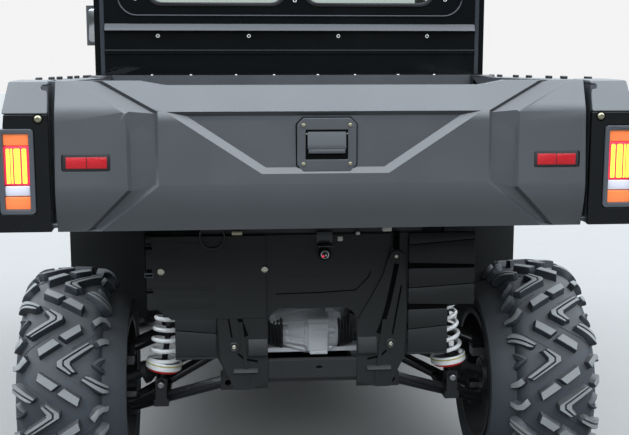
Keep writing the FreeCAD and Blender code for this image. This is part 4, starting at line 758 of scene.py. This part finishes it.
# Panels whose edges are rounded, as node: edge radius, segments and how its points move
soft_edges = {
    "tailgate_panel": (4.0, 3, spreads(560, lambda z: 3)),
    "corner_caps": (5.0, 3, spreads(660, lambda z: 4 + 9 * (z - 1130) / 70)),
    "lamp_panels": (3.0, 3, None),
    "bed_box": (3.0, 2, rail_falls),
    "rear_guard": (3.0, 2, None),
    "hitch_bar": (2.0, 2, bar_shrinks),
    "skid_plate": (2.0, 2, tail_tucks),
    "frame": (0.0, 1, tube_lifts),
    "blank_plate": (1.0, 2, None),
    "cab_rear_panel": (2.0, 3, ledge_slopes),
    "tailgate_latch": (1.5, 2, None),
    "tail_lamps": (2.5, 2, None),
    "door_left": (0.0, 1, None),
    "door_right": (0.0, 1, None),
    "bonnet": (5.0, 3, None),
    "cowl": (3.0, 2, None),
    "nose_panel": (3.0, 2, None),
    "dashboard": (8.0, 3, None),
    "side_panels": (3.0, 2, None),
    "floor_tub": (3.0, 2, None),
    "headlamps": (6.0, 3, None),
    "mirrors": (8.0, 3, spreads(655, lambda z: 27)),
    "engine": (2.0, 2, None),
    "rear_gearcase": (1.5, 2, None),
    "front_gearcase": (1.5, 2, None),
}
# The side panels take the black guard plastic in place of their grey: painted shade, as they lie under the
# bed
painted_shade_finishes = {"side_panels": "guard_plastic"}


def free_copy(node):
    """A bare copy of a CAD node, its mesh open and its points merged, and the node's body."""
    source = nodes[node]
    piece = duplicate(source)
    piece.parent = None
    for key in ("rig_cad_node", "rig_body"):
        del piece[key]
    piece.data.materials.clear()
    bpy.ops.mesh.customdata_custom_splitnormals_clear()
    edit(piece, "VERT")
    bpy.ops.mesh.remove_doubles(threshold=same_cad_point)
    return piece, body_of(source)[0]


def soften(node, edge, segments, reshape):
    """Replaces a CAD node by a copy with flat faces joined, points moved and edges rounded."""
    piece, body = free_copy(node)
    piece.name = node + "_finished"
    if edge:
        select_whole()
        bpy.ops.mesh.dissolve_limited(angle_limit=math.radians(1.0))
    done()
    if reshape:
        for vertex in piece.data.vertices:
            vertex.co = reshape(vertex.co / mm) * mm
    if node == "tailgate_panel":
        carve_gate(piece)
    if edge:
        bevel(piece, edge * mm, segments, angle_limit=math.radians(30), miter_outer="MITER_ARC",
              harden_normals=False)
    dress(piece, body, finishes[painted_shade_finishes.get(node, slots[node])], slots[node])
    modifier(piece, "WEIGHTED_NORMAL", keep_sharp=True, weight=50)
    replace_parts(piece, node)


# Trim

def build_lamps():
    """Tail lamps: amber, lit red with rows of yellow cells, and clear fields; reflectors and screws."""
    inside = (643.2, 696.8)
    y = (-1494.6, -1472.0)
    amber = [slab("amber_field", inside, y, z, 1.5) for z in ((1063.0, 1087.8), (924.2, 951.0))]
    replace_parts(dress(both_sides(amber, "lamp_amber_fields"), "bed", "lens"), "lamp_lenses")
    red = slab("red_field", inside, (-1493.0, -1472.0), (977.2, 1061.0), 2.0)
    dress(both_sides([red], "lamp_red_fields"), "bed", lit_red, "lens")
    clear = slab("clear_field", inside, y, (953.2, 975.0), 2.0)
    dress(both_sides([clear], "lamp_clear_fields"), "bed", clear_lens, "lens")
    # Columns of lit cells: inner and outer edge of each, and how many cells wide it is
    columns = [(648.5, 658.7, 2), (662.0, 675.6, 3), (678.2, 682.6, 1), (684.2, 692.4, 2)]
    cell_rows, row_pitch = 15, 5.0
    backs, cells = [], []
    for low, high, count in columns:
        shape = rounded_corners((low, high), (979.5, 1057.5), min(4.0, (high - low) / 2 - 0.2), 3)
        backs.append(upright("cell_back", shape, (-1493.4, -1492.0)))
        size = (high - low) / count
        for number in range(count):
            x = low + size * number
            cell = slab("cell", (x + 0.5, x + size - 0.5), (-1494.2, -1493.2), (981.0, 984.8))
            modifier(cell, "ARRAY", count=cell_rows, use_relative_offset=False, use_constant_offset=True,
                     constant_offset_displace=(0, 0, row_pitch * mm))
            cells.append(cell)
    dress(both_sides(backs, "lamp_cell_backs"), "bed", lit_orange, "lens")
    dress(both_sides(cells, "lamp_cells"), "bed", lit_yellow, "lens")
    rim = upright("mark_rim", rounded_corners((470.3, 571.7), (1006.3, 1042.7), 5.0), (-1499.2, -1491.0), 0.8)
    dress(both_sides([rim], "reflector_rims"), "tailgate", rubber_trim)
    prisms = [slab("prism", x, (-1499.9, -1492.0), (1012.0, 1037.0), 1.2)
              for x in ((477.0, 520.0), (521.0, 565.0))]
    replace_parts(dress(both_sides(prisms, "reflector_prisms"), "tailgate", "red_reflector"), "reflectors")
    # Screw of each lamp panel, and a near black ring round it: painted shade of its recess
    heads("lamp_panel_screws", "bed", brass, [((x, -1495.6, 1120), 8.0, 3.6) for x in (-621, 621)])
    rings = [ring("recess", (x, -1496.0, 1120), 9.6, 1.6) for x in (-621, 621)]
    dress(joined(rings, "screw_recess_painted_shade"), "bed", painted_gap_shade)


def build_latch():
    """Near black slabs in the gap round the latch plate and in its mouth, painted shade; its lip, its screws
    and the pivot's ends.
    """
    outline = rounded_corners((-65.2, 71.2), (998.8, 1121.2), 15.4, 1)
    dress(upright("latch_gap_painted_shade", outline, (-1490.4, -1476.0)), "tailgate", painted_gap_shade)
    mouth = slab("latch_mouth_painted_shade", (-43.6, 49.6), (-1476.4, -1475.0), (1027.4, 1092.6))
    dress(mouth, "tailgate", painted_gap_shade)
    outline = [(-1495.0, 1049.6), (-1495.0, 1040.8), (-1487.0, 1038.6), (-1485.0, 1040.0), (-1485.0, 1049.6)]
    dress(lengthways("latch_lip", outline, (-38.0, 44.0), 1.6), "tailgate", "body_plastic")
    rows = [((x, -1492.4, z), 4.6, 2.6) for x in (-49, 55) for z in (1017, 1103)]
    heads("latch_screws", "tailgate", brass, rows)
    heads("latch_pivot_ends", "tailgate", bright_zinc, [((x, -1491.0, 1084), 1.8, 1.2) for x in (-42, 48)])


def build_bed_trim():
    """Black pads on the side rails, studs on the front wall and the dark front corners."""
    pads = []
    for y in (-1340, -1160, -1035, -850, -715, -530, -430):
        top = 1205.0 - 0.0145 * (y + 1340)
        pads.append(slab("rail_pad", (636, 648), (y - 14, y + 14), (top - 8, top), 2.0))
    dress(both_sides(pads, "rail_pads"), "bed", rubber_trim)
    studs = [((x, -410, 1189.5), 4.0, 3.0) for x in (-449, -326, -183, -62, 79, 199, 339, 457)]
    heads("front_wall_studs", "bed", white_stud, studs, upwards)
    corner = [slab("corner_pad", (573, 600), (-640, -406), (1150, 1190), 3.0),
              slab("corner_block", (570, 638), (-470, -404), (1160, 1190), 4.0)]
    dress(both_sides(corner, "front_corner_rubbers"), "bed", rubber_trim)


def build_cab_back():
    """Window seals, the edge of the sunk field, post bands, the ledge's face and screws of the cab's rear
    panel. The field's edge, the post bands and the ledge's face are a grey lighter than the gloss black
    panel: painted sheen, beside the real reflections of their rounded edges. The screw heads are near black
    in pale rims: painted shade in their sockets.
    """
    seals = [hoop("window_seal", x, (1408, 1797), 12, (50, 42), 8, (-356.5, -352.0), 1.6, 2)
             for x in ((-467, -16), (34, 467))]
    dress(joined(seals, "rear_window_seals"), "chassis", rubber_trim)
    rim = hoop("field_rim", (-558, 558), (1376, 1843), 5, (62, 58), 10, (-360.5, -355.5), 2.2, 3)
    dress(rim, "chassis", painted_sheen_edge)
    band = slab("post_band", (600.0, 613.5), (-357.6, -352.0), (866, 1900), 1.4)
    dress(both_sides([band], "post_bands"), "chassis", painted_sheen_edge)
    outline = [(-368.6, 1331.0), (-356.4, 1352.6), (-355.5, 1352.0), (-355.5, 1331.0)]
    dress(lengthways("ledge_face", outline, (-598.5, 598.5), 0.6), "chassis", painted_sheen_edge)
    places = [(x, -356.2, 1314) for x in (-431, -140, 150, 442)]
    places += [(x, -353.2, z) for x, z in ((-500, 1431), (9, 1427), (500, 1431))]
    # Near black heads inside pale rims: painted shade in the screws' sockets
    heads("cab_screw_heads_painted_shade", "chassis", rubber_trim, [(place, 4.0, 2.0) for place in places])
    rims = [ring("screw_rim", place, 4.6, 1.7) for place in places]
    dress(joined(rims, "cab_panel_screw_rims"), "chassis", white_stud)


# Rear face of the guard
guard_y = -1150.0


def build_guard_bolts():
    """Bolts and washers of the rear guard and its blank plate."""
    heads("blank_plate_bolts", "chassis", bright_zinc,
          [((-388, guard_y - 3.2, 709), 9.0, 4.0), ((-124, guard_y - 3.2, 711), 9.0, 4.0)])
    rows = [((x, guard_y, 506), 7.0, 5.0) for x in (-205, 205)] + [((217, guard_y - 5, 740), 5.0, 3.0)]
    heads("guard_bolts", "chassis", bright_zinc, rows)
    washers = [ring("washer", (x, guard_y - 0.5, 506), 10.5, 3.4) for x in (-205, 205)]
    washers.append(ring("washer", (217, guard_y - 4.0, 740), 13.0, 3.0))
    dress(joined(washers, "guard_washers"), "chassis", rubber_trim)


def build_guard_slats():
    """Slats, grooves and foot pads of the rear guard; the grooves, the gaps between slats and the field's
    edge are near black strips of painted shade.
    """
    # Slats beside each leg: upper and lower edge at the inner and at the outer end, and x of the outer end
    slats = [((800, 770), (800, 784), 424), ((767, 722), (781, 716), 424), ((706, 656), (705.5, 666), 424),
             ((653, 613), (663, 609), 424), ((596, 545), (598, 555), 354), ((542, 484), (552, 484), 354)]
    made = []
    for (high, low), (far_high, far_low), end in slats:
        outline = [(251, low), (end, far_low), (end, far_high), (251, high)]
        piece = upright("slat", outline, (guard_y - 4.5, guard_y))
        for vertex in piece.data.vertices:
            if vertex.co.y < (guard_y - 4) * mm and vertex.co.z > (high + low) / 2 * mm:
                vertex.co.y += 3.0 * mm
        bevel(piece, 1.6 * mm)
        made.append(piece)
    dress(both_sides(made, "guard_slats"), "chassis", "guard_plastic")
    # Grooves down each leg, painted shade: (x, z) line and width. Gaps between slats, painted shade too:
    # lower and upper edge, outer end.
    grooves = [
        ([(219, 719), (210, 671), (198, 613), (185, 565), (173, 534)], 13.0),
        ([(232, 661), (220, 592), (210, 531)], 4.5),
        ([(195, 488), (178, 473), (144, 466)], 6.0),
    ]
    gaps = [(704, 724, 424), (594, 615, 354), (767, 784, 424), (653, 666, 424), (542, 556, 354)]
    thin = (guard_y - 0.7, guard_y + 0.3)
    lines = [strip("groove", points, width, thin) for points, width in grooves]
    lines += [slab("gap", (250, end), (guard_y - 0.8, guard_y + 7), (low, high)) for low, high, end in gaps]
    dress(both_sides(lines, "guard_groove_painted_shade"), "chassis", painted_gap_shade)
    # A near black line along the edge of the guard's field, and a groove at its top: painted shade
    edge = [(178, 790), (166, 728), (146, 684), (113, 650), (20, 645), (-96, 643)]
    top = [strip("groove", [(217.7, 806), (217.7, 758)], 16.0, thin),
           strip("edge", edge, 2.4, (guard_y + 6.6, guard_y + 8.2))]
    dress(joined(top, "guard_field_edge_painted_shade"), "chassis", painted_gap_shade)
    pad = [(guard_y - 1, 526), (guard_y - 12, 489), (guard_y - 12, 483), (guard_y + 1, 480),
           (guard_y + 1, 526)]
    rib = [(guard_y - 1, 449), (guard_y - 9, 438), (guard_y + 1, 436), (guard_y + 1, 449)]
    pads = [lengthways("foot_pad", pad, (118, 168), 4.0, 3), lengthways("foot_rib", rib, (143, 207), 2.0)]
    dress(both_sides(pads, "guard_foot_pads"), "chassis", "guard_plastic")


def build_guard_fittings():
    """The small camera under its bracket, pale clips, a plug, the outlet pipe and the slots on the left. The
    bracket's grey is a painted highlight and the camera's red dot glows as painted light; the slots are
    painted shade, and the grey rim round one is a painted highlight.
    """
    # The bracket is grey where it is black: painted highlight for its light edge
    bracket = [slab("bracket", (10, 51), (guard_y - 30, guard_y + 4), (771.5, 774.5), 0.8),
               slab("bracket_back", (10, 51), (guard_y + 1, guard_y + 4), (771.5, 806), 0.8)]
    dress(joined(bracket, "camera_bracket"), "chassis", painted_highlight_bracket)
    profile = [(-8, 0), (-8, 16), (16, 16), (20, 13), (20, 0)]
    body = turned("camera_body", profile, (30, guard_y, 750), backwards, 24)
    dress(body, "chassis", finishes["gloss_black"])
    dress(ring("camera_ring", (30, guard_y - 20, 750), 9.5, 1.2), "chassis", chrome)
    heads("camera_lens", "chassis", chrome, [((33, guard_y - 19.5, 748), 3.0, 2.0)])
    # The red dot glows with the lit lens material: painted light, though it is no lamp
    heads("camera_dot_painted_glow", "chassis", lit_red, [((25, guard_y - 20.5, 746), 3.0, 1.5)])
    tags = [slab("pale_tag", (64, 78), (guard_y - 2, guard_y + 8), (781, 794), 3.0),
            slab("pale_tag", (112, 122), (guard_y - 2, guard_y + 8), (797, 805), 2.0),
            slab("pale_tag", (180, 204), (guard_y - 8, guard_y + 8), (806, 817), 2.0)]
    dress(joined(tags, "pale_clips"), "chassis", white_stud)
    dress(slab("plug", (-208, -180), (guard_y - 8, guard_y + 8), (801, 813), 3.0), "chassis", brass)
    profile = [(0, 29), (0, 34), (9, 34), (12, 33), (12, 29)]
    pipe = turned("outlet_pipe", profile, (-257, guard_y + 2, 798), backwards, 32)
    dress(pipe, "chassis", finishes["boot_rubber"])
    # Near black slots, painted shade, and a grey rim round the middle one, a painted highlight
    side_slots_painted_shade = [slab("side_slot", (-428, -409), (guard_y - 5.4, guard_y), (z - 3, z + 3), 0.8)
                  for z in (700, 770, 657)]
    dress(joined(side_slots_painted_shade, "side_slots_painted_shade"), "chassis", painted_gap_shade)
    rim = slab("slot_rim_painted_highlight", (-430, -407), (guard_y - 5.0, guard_y), (694, 706), 1.0)
    dress(rim, "chassis", finishes["bezel_grey"])


def build_gearcase():
    """The casting in the guard's opening: barrel, ribbed cone, cover with a bead, bolts and boots."""
    centre = Vector((0, axle_y("rear") - 10, 473))
    profile = [(-66, 0), (-66, 36), (-60, 40), (-52, 40), (-50, 36), (-6, 50), (-4, 57), (4, 60), (58, 60),
               (62, 56), (64, 46), (84, 46), (90, 42), (90, 0)]
    parts = [turned("barrel", profile, centre, sideways, 48)]
    rib_count = 14
    bolt = [(-5, 0), (-5, 5), (4, 5), (5, 4), (5, 0)]
    for number in range(rib_count):
        angle = math.tau * (number + 0.5) / rib_count
        spoke = Matrix.Translation(centre * mm) @ Matrix.Rotation(angle, 4, "X")
        rib = lengthways("rib", [(-2, 30), (2, 30), (2, 60), (-2, 60)], (-58, 0), 0.8)
        for vertex in rib.data.vertices:
            if vertex.co.x < -20 * mm and vertex.co.z > 40 * mm:
                vertex.co.z = 42 * mm
        spoked = [rib]
        if number % 2:
            spoked.append(turned("bolt", bolt, (69, 0, 51), sideways, 6))
        for piece in spoked:
            piece.data.transform(spoke)
        parts += spoked
    back = centre.y - 60
    bead = [(60, 498), (24, 498), (20, 494), (20, 488), (24, 484), (60, 484)]
    parts += [slab("cover", (2, 60), (back - 6, back + 30), (432, 516), 5.0, 3),
              strip("bead", bead, 4.0, (back - 9, back - 3)),
              slab("top_lug", (0, 62), (back - 10, back + 20), (512, 527), 4.0, 3),
              slab("foot_lug", (8, 58), (back - 8, back + 20), (424, 434), 3.0, 3)]
    dress(joined(parts, "rear_casting"), "chassis", "cast_alloy")
    pleats = [(0, 30), (0, 44)]
    for fold in range(5):
        pleats += [(6 + 9 * fold, 46 - 3 * fold), (10 + 9 * fold, 40 - 3 * fold)]
    pleats += [(52, 24), (52, 15), (0, 15)]
    boots = [turned("boot", pleats, centre + Vector((start, 0, 0)), (start, 0, 0), 32) for start in (90, -66)]
    dress(joined(boots, "rear_shaft_boots"), "chassis", "boot_rubber")


# Springs: radius of the coil, thickness of its wire, turns, and how far it stays from the damper's ends
coil_radius, coil_wire, coil_turns, coil_trim = 38.0, 12.5, 9.0, 59.0
# Rings at each spring's foot: label, finish and (along, radius) profile
spring_rings = [
    ("cups", finishes["spring_paint"],
     [(42.5, 46.8), (42.5, 49.0), (61, 49.0), (63, 48.0), (63, 46.0), (52.5, 46.0), (52.5, 46.8)]),
    ("lines", yellow_line, [(55.0, 48.8), (55.0, 49.7), (58.0, 49.7), (58.0, 48.8)]),
    ("seats", red_ring, [(35.0, 20.0), (35.0, 42.0), (41.8, 45.5), (41.8, 20.0)]),
]


def coil(name, foot, head):
    """A wound spring between two places."""
    run = head - foot
    angles = [math.tau * n / 8 for n in range(8)]
    piece = outlined(name, [Vector((coil_radius + coil_wire / 2 * math.cos(angle), 0,
                                    coil_wire / 2 * math.sin(angle))) * mm for angle in angles])
    edit(piece, "VERT")
    bpy.ops.mesh.delete(type="ONLY_FACE")
    done()
    steps = int(20 * coil_turns)
    modifier(piece, "SCREW", axis="Z", angle=math.tau * coil_turns,
             screw_offset=(run.length - 2 * coil_trim) * mm, steps=steps, render_steps=steps)
    edit(piece, "VERT", whole=False)
    bpy.ops.mesh.select_all(action="DESELECT")
    bpy.ops.mesh.select_non_manifold()
    bpy.ops.mesh.edge_face_add()
    done(outwards=True)
    lean = run.to_track_quat("Z", "X").to_matrix().to_4x4()
    piece.data.transform(Matrix.Translation((foot + run.normalized() * coil_trim) * mm) @ lean)
    return piece


def build_springs():
    """Close wound springs in place of the plain ones, with cup, painted line and red ring at each foot."""
    pairs = [(axle, [[Vector((sign * end.x, end.y, end.z)) for end in ends] for sign in (-1, 1)])
             for axle, *ends in damper_lines]
    for axle, sides in pairs:
        for label, finish, profile in spring_rings:
            rings = [turned("collar", profile, foot, head - foot, 32) for foot, head in sides]
            dress(joined(rings, axle + "_spring_" + label), "chassis", finish)
    coils = [coil(axle + "_coil", foot, head) for axle, sides in pairs for foot, head in sides]
    springs = joined(coils, "wound_springs")
    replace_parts(dress(springs, "chassis", "spring_paint", smooth=60), "springs")
    bolts = [((x, rear_damper_y - 32, 363), 11.0, 7.0) for x in (-405, 405)]
    heads("shock_bolts", "chassis", finishes["steel"], bolts)


# Seats: node, the way its seams face, and its size before it is blown up
seat_table = [("seat_cushions", Vector(upwards), 0.93), ("seat_backs", Vector((0, 1, 0)), 0.95)]
# In metres: voxel, how far a point may move, depth and width of a seam, and where the cross seams lie
seat_voxel, seat_cap = 0.008, 0.012
seam_depth, seam_width = 0.007, 0.006
cushion_seam, back_seam = 0.075, 0.36
seam_shares = (0.22, 0.36, 0.5, 0.64, 0.78)


def plump(piece):
    """Blows the pad up a little as cloth, with no point moved further than the cap."""
    start = [vertex.co.copy() for vertex in piece.data.vertices]
    pick(piece)
    cloth = piece.modifiers.new("cloth", "CLOTH")
    cloth.settings.use_pressure = True
    cloth.settings.uniform_pressure_force = 4.0
    cloth.settings.effector_weights.gravity = 0.0
    for number in range(1, 21):
        bpy.context.scene.frame_set(number)
    bpy.ops.object.modifier_apply(modifier=cloth.name)
    bpy.context.scene.frame_set(1)
    for vertex, place in zip(piece.data.vertices, start):
        moved = vertex.co - place
        if moved.length > seat_cap:
            vertex.co = place + moved * (seat_cap / moved.length)


def sew(piece, seams, way):
    """Pulls the side that faces that way in along its seams: each is an axis number and a place."""
    piece.data.update()
    for vertex in piece.data.vertices:
        facing = vertex.normal.dot(way)
        if facing >= 0.3:
            near = min(abs(vertex.co[axis] - place) for axis, place in seams)
            vertex.co -= way * seam_depth * facing * math.exp(-(near / seam_width) ** 2)


def build_seats():
    """Two seat pads and two backs, blown up from the plain ones, with sewn channels."""
    for node, way, shrink in seat_table:
        whole, body = free_copy(node)
        bpy.ops.mesh.separate(type="LOOSE")
        done()
        for side, piece in zip(("a", "b"), list(bpy.context.selected_objects)):
            corners = [vertex.co.copy() for vertex in piece.data.vertices]
            low, high = (Vector([end(corner[axis] for corner in corners) for axis in range(3)])
                         for end in (min, max))
            middle = (low + high) / 2
            for vertex in piece.data.vertices:
                vertex.co = middle + (vertex.co - middle) * shrink
            modifier(piece, "REMESH", mode="VOXEL", voxel_size=seat_voxel)
            modifier(piece, "SMOOTH", factor=0.5, iterations=6)
            plump(piece)
            for vertex in piece.data.vertices:
                for axis in range(3):
                    vertex.co[axis] = min(max(vertex.co[axis], low[axis] - 0.001), high[axis] + 0.004)
            cross = (1, high.y - cushion_seam) if way.z else (2, low.z + back_seam)
            seams = [(0, low.x + (high.x - low.x) * share) for share in seam_shares] + [cross]
            sew(piece, seams, way)
            piece.name = node.replace("seat_", "padded_") + "_" + side
            dress(piece, body, "seat_vinyl", smooth=60)
            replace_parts(piece, node)


def build_wheel_trim():
    """A cap and four nuts in the middle of each wheel."""
    # Axle: x of the hub's face and of the disc's face
    faces = {"rear": (622.0, 600.0), "front": (644.0, 622.0)}
    cap = [(-1, 0), (-1, 27), (3, 27), (8, 23), (10, 16), (10, 0)]
    washer = [(-1, 0), (-1, 12.5), (2, 12.5), (4, 10), (4, 0)]
    nut = [(3, 0), (3, 9.6), (15, 9.6), (17, 7.6), (17, 5), (22, 5), (23, 4), (23, 0)]
    nut_count, nut_circle = 4, 50.0
    for axle, (hub, disc) in faces.items():
        for side, sign in (("left", -1), ("right", 1)):
            name = "%s_%s" % (axle, side)
            out = (sign, 0, 0)
            _, y, z = Vector(joint_places[name + "_roll"]) / mm
            dress(turned("hub_cap_" + name, cap, (sign * hub, y, z), out, 32), name + "_wheel",
                  finishes["gloss_black"])
            nuts = []
            for number in range(nut_count):
                angle = math.tau * (number + 0.5) / nut_count
                spot = (sign * disc, y + nut_circle * math.cos(angle), z + nut_circle * math.sin(angle))
                nuts += [turned("washer", washer, spot, out, 20), turned("nut", nut, spot, out, 6)]
            dress(joined(nuts, "wheel_nuts_" + name), name + "_wheel", bright_zinc, smooth=25)


def build_mirror_glasses():
    shape = rounded_corners((700, 768), (1304, 1436), 14.0, 4)
    glass = upright("mirror_glass", shape, (598.4, 601.0), 0.8)
    dress(both_sides([glass], "mirror_glasses"), "chassis", chrome)


# Floor, sky, lamp and camera

def lay_floor():
    """Pale floor, shown to the camera brighter than it lights the vehicle."""
    deselect()
    bpy.ops.mesh.primitive_plane_add(size=60, location=(0, 0, 0))
    floor = bpy.context.object
    floor.name = "studio_floor"
    paint = surface("studio_floor_paint", (0.215, 0.210, 0.200), 0.85, 40, 0.04, 0.0, 0.05)
    tree = paint.node_tree
    add = nodes_of(tree)
    base = tree.nodes["Principled BSDF"].inputs["Base Color"]
    shown = base.links[0].from_socket
    shade = add("Mix", {0: add("LightPath").outputs["Is Camera Ray"], 6: (0.085, 0.083, 0.079, 1), 7: shown},
                data_type="RGBA")
    tree.links.new(shade.outputs[2], base)
    floor.data.materials.append(paint)


def hang_sky():
    """Overcast sky, bright overhead and dark near the horizon as among trees, and a white backdrop."""
    world = bpy.data.worlds.new("studio")
    bpy.context.scene.world = world
    world.use_nodes = True
    tree = world.node_tree
    tree.nodes.clear()
    add = nodes_of(tree)
    light_path = add("LightPath")
    seen = add("Math", {0: light_path.outputs["Is Camera Ray"], 1: light_path.outputs["Is Transmission Ray"]},
               operation="MAXIMUM")
    height = add("SeparateXYZ", {"Vector": add("TexCoord").outputs["Generated"]})
    sky = add("ValToRGB", {"Fac": height.outputs["Z"]})
    stops = [(0.12, (0.016, 0.018, 0.018)), (0.28, (0.05, 0.056, 0.06)), (0.44, (0.84, 0.92, 1.0)),
             (0.68, (0.84, 0.91, 1.0)), (0.90, (0.46, 0.50, 0.54))]
    for place, colour in stops[1:-1]:
        sky.color_ramp.elements.new(place).color = (*colour, 1)
    for number in (0, -1):
        sky.color_ramp.elements[number].position = stops[number][0]
        sky.color_ramp.elements[number].color = (*stops[number][1], 1)
    soft_light = add("Background", {"Color": sky.outputs[0], "Strength": 5.1})
    backdrop = add("Background", {"Color": (1.0, 1.0, 1.0, 1), "Strength": 0.9})
    mix = add("MixShader", {0: seen.outputs[0], 1: soft_light.outputs[0], 2: backdrop.outputs[0]})
    add("OutputWorld", {"Surface": mix.outputs[0]})


def put(name, data, place, turn):
    """An object of the scene at a place in metres."""
    thing = bpy.data.objects.new(name, data)
    bpy.context.scene.collection.objects.link(thing)
    thing.location = place
    thing.rotation_euler = turn
    return thing


def light_and_camera():
    """One soft panel above the tailgate, and the photo's camera."""
    panel = bpy.data.lights.new("sky_panel", "AREA")
    panel.size = 5.0
    panel.energy = 60.0
    place, aim = Vector((0.0, -1.2, 6.0)), Vector((0.0, -0.9, 0.0))
    put("sky_panel", panel, place, (aim - place).to_track_quat("-Z", "Y").to_euler())
    view = bpy.data.cameras.new("photo_camera")
    view.lens = camera_lens
    view.sensor_width = camera_sensor
    turn = (math.pi / 2 - camera_down, 0, -camera_turn_right)
    bpy.context.scene.camera = put("photo_camera", view, camera_place, turn)
    bpy.context.scene.view_settings.view_transform = "Standard"


paint_carried_nodes()
for node, row in soft_edges.items():
    soften(node, *row)
build_tyres()
build_lamps()
build_latch()
build_bed_trim()
build_cab_back()
build_guard_bolts()
build_guard_slats()
build_guard_fittings()
build_springs()
build_gearcase()
build_seats()
build_wheel_trim()
build_mirror_glasses()
lay_floor()
hang_sky()
light_and_camera()
